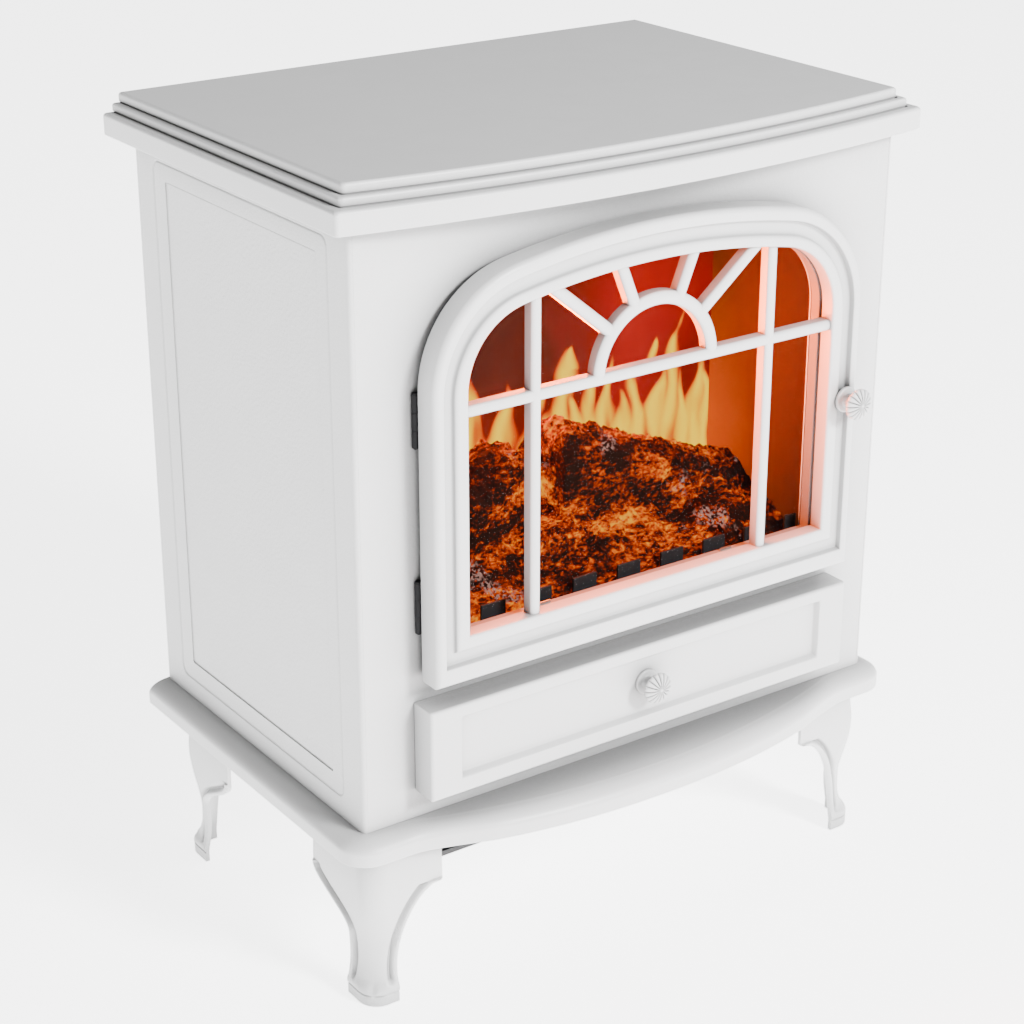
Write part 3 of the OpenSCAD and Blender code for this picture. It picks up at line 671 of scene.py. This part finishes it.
def build_front():
    """The front sheet behind the door, cut out for the fire and for the controls."""
    lo, hi = span("front_panel")
    recess_lo, recess_hi = span("control_panel")
    door_lo, door_hi = span("door_frame")
    side, low, top = hi[0] - 3.2, lo[2], hi[2]
    wide = (door_hi[0] - door_lo[0]) / 2 - 26.7
    outlines = [
        round_rect(-side, side, low, top, 0.5),
        arch(wide + 1, door_lo[2] + 18, door_hi[2] - 27, 54, 574),
        round_rect(recess_lo[0] + 4, recess_hi[0] - 4, recess_lo[2] + 3, recess_hi[2] - 3, 3),
    ]
    curve = bpy.data.curves.new("front_outline", "CURVE")
    curve.dimensions = "2D"
    curve.fill_mode = "BOTH"
    half, soft = 0.75, 0.3
    curve.extrude = (half - soft) * MM
    curve.bevel_depth = soft * MM
    curve.offset = -soft * MM
    curve.bevel_resolution = 2
    for outline in outlines:
        spline = curve.splines.new("POLY")
        spline.points.add(len(outline) - 1)
        for point, (x, z) in zip(spline.points, outline):
            point.co = (x * MM, z * MM, 0, 1)
        spline.use_cyclic_u = True
    holder = put_in_scene("front_curve", curve)
    mesh = finished_mesh(holder)
    bpy.data.objects.remove(holder)
    for v in mesh.vertices:
        x, z, y = v.co
        v.co = (x, (lo[1] + half) * MM - y, z)
    piece = put_in_scene("front_panel_sheet", mesh)
    finish_mesh(piece)
    dress(piece, SHEET, "casing", "front_panel")


def build_liner():
    """The firebox: an open tube with a flange behind the front sheet."""
    lo, hi = span("firebox_liner")
    front, back = lo[1], hi[1]
    lip = front + 2
    # half width lost, inset at foot and crown, depth
    stops = [(6, 6, back), (4, 4, back), (4, 4, lip), (0, 0, lip), (0, 0, front), (6, 6, front)]
    rings = []
    for narrow, cut, y in stops:
        hw = hi[0] - narrow
        rings.append(at_y(round_rect(-hw, hw, lo[2] + cut, hi[2] - cut, 0.05, side=10), y))
    paint = FINISH["firebox_paint"]
    make_piece("firebox_liner_painted", *loft(rings, loop=True), paint, "casing", "firebox_liner")


def build_rail():
    """The dark toothed rail in front of the embers."""
    lo, hi = span("ember_rail")
    pitch, half, low_top = 38.6, 10.0, 268.5
    outline = [(lo[0], lo[2]), (hi[0], lo[2])]
    for k in range(4, -5, -1):
        right, left = min(k * pitch + half, hi[0]), max(k * pitch - half, lo[0])
        if right > k * pitch - half + 1 and left < right - 1:
            outline += [(right, low_top), (right, hi[2]), (left, hi[2]), (left, low_top)]
    points = np.array(outline)
    verts, faces = loft([at_y(points, lo[1]), at_y(points, hi[1])])
    piece = make_piece("ember_rail_toothed", verts, faces, FINISH["black_steel"], "casing", "ember_rail")
    soften(piece, 0.35)


def build_retainer():
    """The strip behind the glass that holds it in the door."""
    lo, hi = span("door_frame")
    strip_lo, strip_hi = span("glass_retainer")
    front, back = strip_lo[1], strip_hi[1] + 4.2
    outside, face = (21.0, 27.6, 22.3), (26.7, 29.1, 28.0)
    stops = [(outside, front), ((26.4, 28.8, 27.7), front), (face, front + 0.4)]
    stops += [(face, back - 0.6), ((26.2, 28.7, 27.5), back), (outside, back)]
    rings = [door_ring(lo, hi, inset, y) for inset, y in stops]
    strip = loft(rings, loop=True)
    # the strip's grey is a gasket finish and also painted shade: it stands in for the shade the door casts
    # on it
    make_piece("glass_retainer_strip", *strip, FINISH["grey_gasket"], "door", "glass_retainer")


# ---------- base plate ----------


def base_outlines(count_side=12, count_corner=16, count_front=72, count_rear=24):
    """The nose outline and the upper outline of the base, point for point."""
    lo, hi = span("base_plate")
    front = span("front_panel")[0][1]
    body = -span("left_side_panel")[0][0] + 0.6
    nose, back, tip = hi[0], hi[1], lo[1]
    nose_r, nose_line, nose_half = 22, front - 16, 192
    shelf_r, shelf_bow, shelf_tip = 2.0, 560, tip + 14

    def nose_y(x):
        swell = max(0.0, 1 - (abs(x) / nose_half) ** 2.2)
        return nose_line + (tip - nose_line) * swell * min(1.0, 0.55 + 0.9 * swell)

    def shelf_y(x):
        reach = shelf_tip + shelf_bow - math.sqrt(shelf_bow**2 - x**2)
        blend = 6.0
        return min(front, reach) if abs(reach - front) > blend else soft_min(front, reach, blend)

    def around(hw, y, turn, xs, front_y):
        """One closed outline: a side, a corner, the front, a corner, a side and the back."""
        return np.concatenate(
            [
                line((-hw, back), (-hw, y), count_side),
                turn[:-1],
                np.array([(x, front_y(x)) for x in xs[:-1]]),
                (turn * (-1, 1))[::-1][:-1],
                line((hw, y), (hw, back), count_side),
                line((hw, back), (-hw, back), count_rear),
            ]
        )

    cy = nose_line + nose_r
    turn = arc(-(nose - nose_r), cy, nose_r, 180, 270, count_corner)
    edge_x = -turn[-1][0]
    xs = np.linspace(-edge_x, edge_x, count_front + 1)
    shelf_cx = body - shelf_r
    small = arc(-shelf_cx, front + shelf_r, shelf_r, 180, 270, count_corner)
    return (
        around(nose, cy, turn, xs, nose_y),
        around(body, front + shelf_r, small, xs * (shelf_cx / edge_x), shelf_y),
    )


def soft_min(a, b, blend):
    """The smaller of two values, with a rounded change from one to the other."""
    h = unit(0.5 + 0.5 * (b - a) / blend)
    return b * (1 - h) + a * h - blend * h * (1 - h) * 0.5


def build_base():
    """The bowed plate with its rounded nose, and a block over each leg."""
    lo, hi = span("base_plate")
    low, top = lo[2] + 2, hi[2]
    nose, shelf = base_outlines()
    flank = low + 9
    rings = []

    def ring(mix, z, shrink=0.0):
        plan = nose * (1 - mix) + shelf * mix
        if shrink:
            centre = np.array([0, (hi[1] + lo[1]) / 2])
            reach = np.abs(plan - centre)
            plan = centre + np.sign(plan - centre) * np.maximum(reach - shrink, 0)
        rings.append(at_z(plan, z))

    lip = 1.4
    for z, shrink in (
        (top - 3, 23), (low + 8, 23), (low + 8, 4), (low + 0.5, 4), (low, 3.4), (low, lip)
    ):
        ring(0, z, shrink)
    for sin, cos in turns(20, 90, 4):
        ring(0, low + lip * (1 - cos), lip * (1 - sin))
    for sin, cos in turns(0, 88, 13):
        ring(1 - cos, flank + (top - flank - 0.25) * sin)
    ring(1.0, top)
    ring(1.0, top, 1.0)
    shape = Shape()
    shape.add(*loft(rings))
    for node in LEGS:
        leg_lo, leg_hi = span(node)
        sx, sy = np.sign(leg_lo[0]), np.sign(leg_lo[1])
        x = sorted((sx * 219, sx * 182))
        y = sorted((leg_lo[1] + 7, leg_lo[1] + 44)) if sy < 0 else sorted((leg_hi[1] - 7, leg_hi[1] - 44))
        shape.box((x[0], y[0], leg_hi[2]), (x[1], y[1], top - 2), 0.5)
    make_piece("base_plate_moulded", shape.verts, shape.faces, MOULDING, "casing", "base_plate")


# ---------- legs ----------

LEGS = ("leg_front_left", "leg_front_right", "leg_back_left", "leg_back_right")
# heights on the leg, and how far it is set in where it is thinnest
FOOT_RING, ANKLE, WING_TOP, KNEE, LEG_TOP = 14, 34, 88, 91, 124
MOST_SET = 10.7


def ease(z, z0, z1):
    """A smooth change from 0 at z0 to 1 at z1."""
    return (1 - math.cos(math.pi * unit((z - z0) / (z1 - z0)))) / 2


def leg_set(z):
    """How far the leg is set in from its foot's corner at a height."""
    if z < ANKLE:
        return MOST_SET * math.sin(math.radians(90 * max(0.0, (z - 9) / 25)))
    if z < KNEE:
        return MOST_SET * (1 - ease(z, ANKLE, KNEE))
    return 4 * ease(z, KNEE, LEG_TOP)


def front_reach(z):
    """How far the leg's front wing reaches from its corner at a height."""
    t = unit((z - 18) / 69)
    return 61 - 37 * math.sqrt(1 - t * t)


def side_reach(z):
    """The same for the wing on the leg's side."""
    return 30 + 43 * ease(z, 50, 86)


def leg_heights():
    """Heights of the leg's sections, closer together where it turns."""
    stops = [(0, 0.8), (6.4, 0.4), (10, 0.8), (20, 2.0), (70, 1.4), (82, 0.7), (90, 2.0), (LEG_TOP, 2.0)]
    out = []
    for (z0, step), (z1, _) in zip(stops[:-1], stops[1:]):
        out += list(np.arange(z0, z1 - 1e-6, step))
    return out + [float(LEG_TOP)]


def edge_curve(reach):
    """The outline of a wing's free edge in its own plane: distance along the wing, height."""
    return np.array([(reach(z), z) for z in np.arange(FOOT_RING, WING_TOP, 0.6)])


def relief(distance):
    """How far the face stands out near the free edge: a rolled bead, then a groove."""
    bead, bead_width = 2.1, 4.0
    groove, groove_at, groove_width = 2.7, 5.8, 1.5
    if distance < bead_width:
        return bead * math.sin(math.pi * min(1.0, distance / bead_width)) ** 0.7 * 0.8
    return -groove * math.exp(-(((distance - groove_at) / groove_width) ** 2))


def foot_relief(z):
    """The ring and the line round the foot."""
    ring = 1.3 * math.exp(-(((z - 12.5) / 3.4) ** 2))
    cut = -1.0 * math.exp(-(((z - 8.0) / 0.6) ** 2))
    return ring + cut


def leg_section(z, wall=3.2, corner_r=15, wing=30, turn=40):
    """One closed section of the leg: outer face from wing to wing, then the inner face back."""
    slim = leg_set(z) / MOST_SET
    setin = 3.4 * slim
    reach_x, reach_y = front_reach(z), side_reach(z)
    rx, ry = (min(corner_r + 11 * slim, reach - setin - 1.5) for reach in (reach_x, reach_y))
    cx, cy = setin + rx, setin + ry
    lift = foot_relief(z) if z < 20 else 0.0

    def stand_out(s, curve):
        """How far the face stands out at a distance along its wing."""
        if z <= FOOT_RING:
            return lift
        gap = np.min(np.hypot(curve[:, 0] - s, curve[:, 1] - z))
        if z > WING_TOP:
            gap = max(gap, 9.0)
        return lift + relief(gap) * min(1.0, (z - FOOT_RING) / 4)

    def along(reach, c):
        """Distances from a wing's free edge to the corner's turn."""
        return [reach + (c - reach) * t**1.15 for t in np.linspace(0, 1, wing, endpoint=False)]

    side = [(setin - stand_out(s, CURVE_SIDE), s) for s in along(reach_y, cy)]
    outer = [(s, setin - stand_out(s, CURVE_FRONT)) for s in along(reach_x, cx)]
    for degrees in np.linspace(270, 180, turn + 1):
        a = math.radians(degrees)
        x, y = cx + rx * math.cos(a), cy + ry * math.sin(a)
        out = stand_out(x, CURVE_FRONT) if degrees > 225 else stand_out(y, CURVE_SIDE)
        out *= min(1.0, abs(degrees - 225) / 12)
        outer.append((x + out * math.cos(a), y + out * math.sin(a)))
    edge = setin + wall
    inner = [(edge, s) for s in along(reach_y, cy)]
    for sin, cos in turns(180, 270, turn + 1):
        inner.append((cx + (rx - wall) * cos, cy + (ry - wall) * sin))
    back = [(s, edge) for s in along(reach_x, cx)]
    return np.array(outer + side[::-1] + inner + back[::-1])


CURVE_FRONT = edge_curve(front_reach)
CURVE_SIDE = edge_curve(side_reach)


def build_legs():
    """Four mirrored legs, each with a block that meets the base."""
    rings = [at_z(leg_section(z), z) for z in leg_heights()]
    verts, faces = loft(rings)
    for node in LEGS:
        lo, hi = span(node)
        right, rear = lo[0] > 0, lo[1] > 0
        corner_x = hi[0] if right else lo[0]
        corner_y = hi[1] if rear else lo[1]
        sx, sy = (-1 if right else 1), (-1 if rear else 1)
        shape = Shape()
        placed = np.array(verts) * (sx, sy, 1) + (corner_x, corner_y, 0)
        shape.add(placed, faces)
        block = np.array([(6.0, 6.0, 120.0), (44.0, 44.0, 124.0)]) * (sx, sy, 1) + (corner_x, corner_y, 0)
        shape.box(block.min(axis=0), block.max(axis=0), 0.6)
        make_piece(node + "_cast", shape.verts, shape.faces, CASTING, "casing", node)


# ---------- door ----------


# radii of the door's outline at its shoulders and over its arch
DOOR_SHOULDER, DOOR_BOW = 80, 600


def door_ring(lo, hi, inset, y):
    """The door's outline, set in at the sides, foot and crown, at a depth."""
    side, foot, crown = inset
    hw = (hi[0] - lo[0]) / 2
    shoulder, bow = DOOR_SHOULDER - side, DOOR_BOW - crown
    return at_y(arch(hw - side, lo[2] + foot, hi[2] - crown, shoulder, bow), y)


def build_door():
    """The door frame: a rolled edge, a groove, a bead and the window's reveal."""
    lo, hi = span("door_frame")
    front, back = lo[1], hi[1]
    glass_front = span("door_glass")[0][1]
    rings = []

    def ring(side, foot, crown, depth):
        rings.append(door_ring(lo, hi, (side, foot, crown), front + depth))

    thick = back - front
    edge = 4.2
    ring(1.0, 1.0, 1.0, thick)
    ring(0.3, 0.3, 0.3, thick - 0.3)
    ring(0, 0, 0, thick - 1.0)
    for sin, cos in turns(0, 90, 9):
        inset = edge * (1 - cos)
        ring(inset, inset, inset, edge * (1 - sin))
    # insets at the sides, foot and crown, then the depth: step down, groove floor, step up
    for stop in (
        (6.6, 12.3, 8.6, 0), (7.2, 13.0, 9.2, 0.35), (7.5, 13.3, 9.5, 0.9), (8.0, 13.9, 10.1, 3.8),
        (8.5, 14.4, 10.6, 4.5), (9.4, 15.3, 11.5, 4.8), (14.6, 21.4, 18.0, 4.8),
        (15.4, 22.3, 18.8, 4.5), (16.0, 22.9, 19.5, 3.6),
    ):
        ring(*stop)
    for sin, cos in turns(10, 90, 7):
        out = 1 - cos
        ring(16.2 + 3.8 * out, 23.1 + 3.8 * out, 19.7 + 3.2 * out, 3.0 - 2.5 * sin)
    ring(24.0, 30.5, 25.6, 0.45)
    for sin, cos in turns(0, 90, 6)[1:]:
        ring(24.6 + 2.1 * sin, 31.1 + 2.1 * sin, 26.0 + 2.0 * sin, 0.5 + 2.1 * (1 - cos))
    deep = glass_front - front
    ring(26.7, 33.2, 28.0, deep)
    ring(20.7, 27.2, 22.0, deep)
    ring(20.7, 27.2, 22.0, thick)
    frame_mesh, sharp = loft(rings, loop=True), math.radians(38)
    make_piece("door_frame_moulded", *frame_mesh, MOULDING, "door", "door_frame", sharp)


def bar_section(width, deep, soft=2.6, steps=6):
    """A glazing bar's section: flat sides and a rounded front. Offset, depth from the front."""
    half = width / 2
    left = [(-half, deep), (-half, soft)]
    turn = [(-half + half * (1 - cos), soft * (1 - sin)) for sin, cos in turns(0, 90, steps + 1)[1:]]
    right = [(-x, d) for x, d in reversed(turn[:-1])] + [(half, soft), (half, deep)]
    return left + turn + right


def sweep_bar(path, width, front, deep):
    """A bar along a path in X and Z."""
    path = np.array(path, float)
    heading = np.gradient(path, axis=0)
    heading /= np.linalg.norm(heading, axis=1)[:, None]
    normal = np.column_stack([-heading[:, 1], heading[:, 0]])
    section = bar_section(width, deep)
    rings = [
        np.array([(p[0] + n[0] * off, front + d, p[1] + n[1] * off) for off, d in section])
        for p, n in zip(path, normal)
    ]
    return loft(rings)


def build_bars():
    """The glazing bars: a crossbar, two uprights, a half circle and four rays."""
    lo, hi = span("fanlight_bars")
    front, deep = lo[1], hi[1] - lo[1]
    crown = span("door_frame")[1][2]
    bar_z = crown - 103.4
    wide, bite = hi[0], 2.0
    upright_x = 99.0
    half_circle = 9.5
    ring_r = 43 + half_circle / 2
    bow, shoulder = 573, 53
    bow_z = crown - 28 - bow
    corner_x = wide - shoulder
    corner_z = bow_z + math.sqrt((bow - shoulder) ** 2 - corner_x**2)

    def ceiling(x, z0, dx, dz):
        """Where a ray from (x, z0) passes just into the window's arched edge."""
        t = 0.0
        while True:
            px, pz = x + dx * t, z0 + dz * t
            inside_bow = math.hypot(px, pz - bow_z) < bow + bite
            beyond = abs(px) > corner_x and pz > corner_z
            inside_corner = math.hypot(abs(px) - corner_x, pz - corner_z) < shoulder + bite
            if not inside_bow or (beyond and not inside_corner) or abs(px) > wide + bite:
                return px, pz
            t += 0.25

    def straight(p, q, steps=2):
        return [np.array(p) + (np.array(q) - np.array(p)) * t for t in np.linspace(0, 1, steps + 1)]

    parts = []

    def bar(path, width):
        parts.append(loose(*sweep_bar(path, width, front, deep)))

    bar(straight((-wide - bite, bar_z), (wide + bite, bar_z)), 8)
    for x in (-upright_x, upright_x):
        bar(straight((x, lo[2] - bite), ceiling(x, bar_z, 0, 1)), 8)
    bar(arc(0, bar_z, ring_r, 0, 180, 40), half_circle)
    for angle in (39.5, 68, 112, 140.5):
        dx, dz = math.cos(math.radians(angle)), math.sin(math.radians(angle))
        start = (dx * (ring_r - 1), bar_z + dz * (ring_r - 1))
        bar(straight(start, ceiling(*start, dx, dz)), 8.6)
    bars = union(parts)
    bars.name = "fanlight_bars_moulded"
    finish_mesh(bars)
    dress(bars, MOULDING, "door", "fanlight_bars")


# ---------- knobs ----------


def build_knob(name, node, body):
    """A turned knob: foot ring, neck and a domed head cut with fine rays."""
    lo, hi = span(node)
    cx, cz = (lo[0] + hi[0]) / 2, (lo[2] + hi[2]) / 2
    base, reach = hi[1], hi[1] - lo[1]
    # radius, height
    profile = [
        (8.6, 0.0), (9.3, 0.25), (9.5, 0.8), (9.5, 1.9), (9.2, 2.6), (8.4, 2.9), (6.2, 3.1),
        (5.2, 3.7), (4.7, 5.0), (4.6, 7.0), (4.9, 8.6), (5.8, 10.1), (7.4, 11.4), (9.4, 12.4), (10.9, 13.1),
        (11.5, 13.8), (11.6, 14.7), (11.3, 15.6), (10.6, 16.3), (9.4, 17.0), (8.2, 17.6), (6.8, 18.1),
        (5.4, 18.5), (4.0, 18.8), (2.8, 19.0), (1.6, 19.1), (0.8, 19.15),
    ]
    head, tall = 11.6, profile[-1][1]
    squash = min(1.0, reach / tall)
    around, rays = 160, 16
    rings = []
    for r, h in profile:
        points = []
        on_face = unit((h - 13.2) / 2.0) * unit((r - 0.8) / 2.2)
        for a in np.linspace(0, 2 * math.pi, around, endpoint=False):
            cut = (1 - abs(math.sin(a * rays / 2)) ** 0.6) * on_face
            rr = r - 0.8 * cut * (r / head)
            points.append((cx + rr * math.cos(a), base - (h - 1.5 * cut) * squash, cz + rr * math.sin(a)))
        rings.append(np.array(points))
    make_piece(name, *loft(rings), MOULDING, body, node, sharp=math.radians(50))


# ---------- control cover ----------


def build_cover():
    """The drop-down cover: rounded edges, a sunk panel in front and a hollow back."""
    lo, hi = span("control_cover")
    front, back = lo[1], hi[1]
    thick = back - front
    wall, recess = 3.0, 4.6
    panel = (25.0, 25.0, 12.4, 10.0)
    rings = []

    def ring(insets, depth, r):
        left, right, foot, crown = insets
        outline = round_rect(lo[0] + left, hi[0] - right, lo[2] + foot, hi[2] - crown, r)
        rings.append(at_y(outline, front + depth))

    soft, rim = 2.4, (0, 0, 0, 0)
    ring(grow(rim, wall), wall + recess, 0.05)
    ring(grow(rim, wall), thick, 0.05)
    ring(grow(rim, 0.6), thick, 0.6)
    ring(rim, thick - 0.6, 0.9)
    for sin, cos in turns(0, 90, 7):
        ring(grow(rim, soft * (1 - cos)), soft * (1 - sin), 0.9)
    for d, depth, r in (
        (-1.6, 0.0, 0.6), (-0.8, 0.25, 0.6), (0, 1.2, 0.6),
        (1.4, recess - 0.8, 0.6), (2.2, recess - 0.15, 0.8), (3.2, recess, 1.0),
    ):
        ring(grow(panel, d), depth, r)
    verts, faces = loft(rings)
    # the lower back edge is rounded about the hinge line, so that it clears the casing
    hinge_y, hinge_z, clear = back - 2.5, lo[2] + 2.5, 2.4
    for v in verts:
        if v[2] < hinge_z and v[1] > hinge_y:
            gap = np.array([v[1] - hinge_y, v[2] - hinge_z])
            reach = np.linalg.norm(gap)
            if reach > clear:
                v[1], v[2] = hinge_y + gap[0] * clear / reach, hinge_z + gap[1] * clear / reach
    make_piece("control_cover_moulded", verts, faces, MOULDING, "cover", "control_cover")


# ---------- the fire ----------


def smooth_noise(x, y, z=0.0):
    return noise.noise(Vector((x, y, z)))


def build_logs():
    """The moulded bed: embers that rise to the back, with two charred logs across them."""
    lo, hi = span("log_bed")
    x0, x1, y0, y1 = lo[0] + 0.2, hi[0] - 0.2, lo[1] + 0.2, hi[1] - 0.2
    floor, step = lo[2], 1.25
    xs = np.arange(x0, x1 + step, step)
    ys = np.arange(y0, y1 + step, step)
    # start of the axis, its end, radius, roughness of the bark
    logs = [
        ((-150, -74, 300), (-62, -48, 338), 25, 2.6),
        ((-12, -52, 341), (138, -46, 282), 29, 3.2),
        ((96, -92, 262), (152, -66, 266), 22, 2.4),
        ((-60, -88, 290), (20, -66, 296), 16, 2.0),
    ]

    def bed(x, y):
        """The embers' height."""
        t = (y - y0) / (y1 - y0)
        z = 272 + 44 * min(1.0, t * 1.5) ** 0.85 - 10 * max(0.0, (x - 90) / 60) - 6 * max(0.0, t - 0.8)
        return z + 9 * smooth_noise(x * 0.035, y * 0.045, 1.7) * min(1.0, t * 4)

    def over_log(x, y, log):
        """The top of a log above a point, or nothing where the log doesn't reach."""
        (ax, ay, az), (bx, by, bz), r, bark = log
        axis = np.array([bx - ax, by - ay])
        length = float(np.hypot(*axis))
        u = axis / length
        s = (x - ax) * u[0] + (y - ay) * u[1]
        d = abs(-(x - ax) * u[1] + (y - ay) * u[0])
        end = max(-s, s - length, 0.0)
        rr = r + bark * smooth_noise(s * 0.05, d * 0.16, 3.1 + r)
        rr -= 2.2 * abs(smooth_noise(s * 0.02, d * 0.35, 9.0 + r))
        if d >= rr or end >= rr * 0.55:
            return 0.0
        dome = math.sqrt(max(0.0, rr * rr - d * d)) * math.sqrt(max(0.0, 1 - (end / (rr * 0.55)) ** 2))
        return az + (bz - az) * unit(s / length) + dome

    verts = []
    for y in ys:
        t = (y - y0) / (y1 - y0)
        rough = min(1.0, t * 6 + 0.25)
        for x in xs:
            z = max(bed(x, y), *(over_log(x, y, log) for log in logs))
            for size, scale, seed in ((2.6, 0.11, z * 0.02), (1.7, 0.27, 5.0), (1.1, 0.55, 8.0)):
                z += rough * size * smooth_noise(x * scale, y * scale, seed)
            z += rough * 3.4 * max(0.0, smooth_noise(x * 0.19 + 40, y * 0.19, 2.0) - 0.12)
            verts.append((x, y, max(z, floor + 3)))
    nx, ny = len(xs), len(ys)
    faces = grid_faces(nx, ny)
    rim = list(range(nx)) + [j * nx + nx - 1 for j in range(1, ny)]
    rim += [(ny - 1) * nx + i for i in range(nx - 2, -1, -1)] + [j * nx for j in range(ny - 2, 0, -1)]
    start, count = len(verts), len(rim)
    verts += [(verts[i][0], verts[i][1], floor) for i in rim]
    faces += [(rim[k], start + k, start + (k + 1) % count, rim[(k + 1) % count]) for k in range(count)]
    faces.append(tuple(start + k for k in range(count)))
    sharp = math.radians(75)
    make_piece("log_bed_moulded", verts, faces, FINISH["log_resin"], "casing", "log_bed", sharp)


# Each flame: where it stands, its foot, its height, its half width, how far its tip leans and its phase
FLAMES = [
    (-112, 330, 78, 13, -6, 0.3), (-88, 330, 60, 11, 8, 2.2), (-67, 340, 62, 11, 10, 1.1),
    (-37, 312, 80, 12, 6, 0.4), (-8, 345, 40, 9, 8, 2.6), (7, 330, 80, 14, 21, 0.9),
    (30, 340, 34, 9, -5, 1.9), (46, 335, 48, 8, -6, 3.0), (57, 330, 66, 7, 4, 0.2),
    (72, 325, 44, 9, -3, 1.4), (88, 320, 62, 12, -6, 2.4), (104, 315, 62, 11, 5, 0.7),
    (115, 320, 98, 8, 12, 1.6), (132, 305, 66, 10, -4, 2.9), (141, 300, 84, 10, 8, 0.5),
    (152, 290, 92, 8, 0, 2.0), (-134, 320, 60, 12, 5, 1.2), (98, 380, 22, 4, 4, 0.0),
    (24, 392, 16, 4, 6, 1.0),
]


def flame_heat(x, z):
    """How hot the picture is at a point: the nearest part of the hottest flame."""
    hottest = 0.0
    for fx, fz, height, half, lean, phase in FLAMES:
        t = (z - fz) / height
        if t < -0.25 or t > 1.02:
            continue
        t0 = unit(t)
        sway = 3.2 * math.sin(z * 0.085 + phase * 2.1) * (0.3 + t0)
        centre = fx + lean * t0**1.4 + sway
        width = 1.5 * half * (1.0 - t0) ** 0.72 * (1 + 0.25 * math.sin(z * 0.13 + phase)) + 0.2
        across = abs(x - centre) / width
        if across < 1.25:
            body = 1.12 - 0.85 * across**1.5
            tip = min(1.0, (1.05 - t0) * 3.2)
            hottest = max(hottest, body * tip)
    return hottest


def build_screen():
    """The screen with its flame picture: a fine grid that stores how hot and how lit each point is."""
    lo, hi = span("flame_screen")
    x0, x1, z0, z1 = lo[0] + 0.1, hi[0] - 0.1, lo[2] + 0.1, hi[2] - 0.1
    nx, nz = 321, 265
    xs, zs = np.linspace(x0, x1, nx), np.linspace(z0, z1, nz)
    verts, burn, glow = [], [], []
    for z in zs:
        for x in xs:
            verts.append((x, lo[1] + 0.02, z))
            warp = 3.5 * smooth_noise(x * 0.045, z * 0.02, 4.0)
            warp += 1.4 * smooth_noise(x * 0.13, z * 0.05, 7.0)
            lift = 5.0 * smooth_noise(x * 0.06, z * 0.03, 11.0)
            value = flame_heat(x + warp, z + lift)
            value -= 0.75 * max(0.0, smooth_noise(x * 0.11, z * 0.03, 15.0)) + 0.06
            burn.append(unit(value))
            near = math.exp(-(((x - 95) / 75) ** 2) - (((z - 430) / 70) ** 2))
            low = unit((400 - z) / 60) * 0.35
            glow.append(min(1.0, 0.22 + 0.75 * near + low + 0.16 * smooth_noise(x * 0.02, z * 0.02, 20.0)))
    piece = mesh_object("flame_screen_lit", verts, grid_faces(nx, nz))
    for label, values in (("burn", burn), ("glow", glow)):
        store = piece.data.attributes.new(label, "FLOAT", "POINT")
        store.data.foreach_set("value", values)
    piece.data.shade_smooth()
    thick = piece.modifiers.new("thickness", "SOLIDIFY")
    thick.thickness = (hi[1] - lo[1] - 0.1) * MM
    thick.offset = -1.0
    dress(piece, FINISH["flame_acrylic"], "casing", "flame_screen")


# ---------- camera, light and floor ----------


def place_camera():
    """The camera that lines the model up with the photo."""
    data = bpy.data.cameras.new("camera")
    data.lens = 81.74
    data.sensor_width = 36
    camera = put_in_scene("camera", data)
    camera.location = (-0.9216, -1.2961, 0.9513)
    camera.rotation_euler = (math.radians(67.056), 0, math.radians(-34.958))
    bpy.context.scene.camera = camera


def area_light(name, place, aim, size, power, colour=(1, 1, 1)):
    """A round soft light at a place in metres, turned towards another."""
    data = bpy.data.lights.new(name, "AREA")
    data.shape = "DISK"
    data.size = size
    data.energy = power
    data.color = colour
    light = put_in_scene(name, data)
    light.location = place
    light.rotation_euler = (Vector(aim) - Vector(place)).to_track_quat("-Z", "Y").to_euler()
    return light


def light_studio():
    """A pale even sky, two soft lights and the fire's own light."""
    world = bpy.data.worlds.new("studio")
    bpy.context.scene.world = world
    world.use_nodes = True
    background = world.node_tree.nodes["Background"]
    background.inputs["Color"].default_value = (1, 1, 1, 1)
    background.inputs["Strength"].default_value = 0.38
    middle, ember_red = (0, 0, 0.3), (1.0, 0.13, 0.015)
    area_light("front_soft", (0.9, -3.1, 2.15), middle, 0.9, 370)
    area_light("left_soft", (-3.2, -0.5, 1.2), middle, 1.8, 5)
    glow = area_light("fire_glow", (0.0, -0.019, 0.41), (0.0, -1.0, 0.36), 0.16, 10.0, ember_red)
    glow.visible_camera = False


def lay_floor():
    """A wide pale floor, just under the feet."""
    work = bmesh.new()
    bmesh.ops.create_grid(work, x_segments=8, y_segments=8, size=25.0)
    mesh = bpy.data.meshes.new("floor")
    work.to_mesh(mesh)
    work.free()
    floor = put_in_scene("floor", mesh)
    floor.location.z = -0.0004
    n = Nodes("pale_floor")
    n.feed(n.ramp(n.noise(3, detail=3), [(0.3, 0.93), (0.7, 0.95)]), "Base Color")
    n.set(**{"Roughness": 0.9, "Specular IOR Level": 0.1})
    n.set(**{"Emission Color": (1, 1, 1, 1), "Emission Strength": 4.0})
    mesh.materials.append(n.material)


place_camera()
light_studio()
lay_floor()
finish_cad_nodes()
build_top()
build_side(-1)
build_side(1)
build_front()
build_liner()
build_retainer()
build_rail()
build_base()
build_legs()
build_door()
build_bars()
build_knob("door_knob_turned", "door_knob", "door")
build_knob("cover_knob_turned", "cover_knob", "cover")
build_cover()
build_logs()
build_screen()
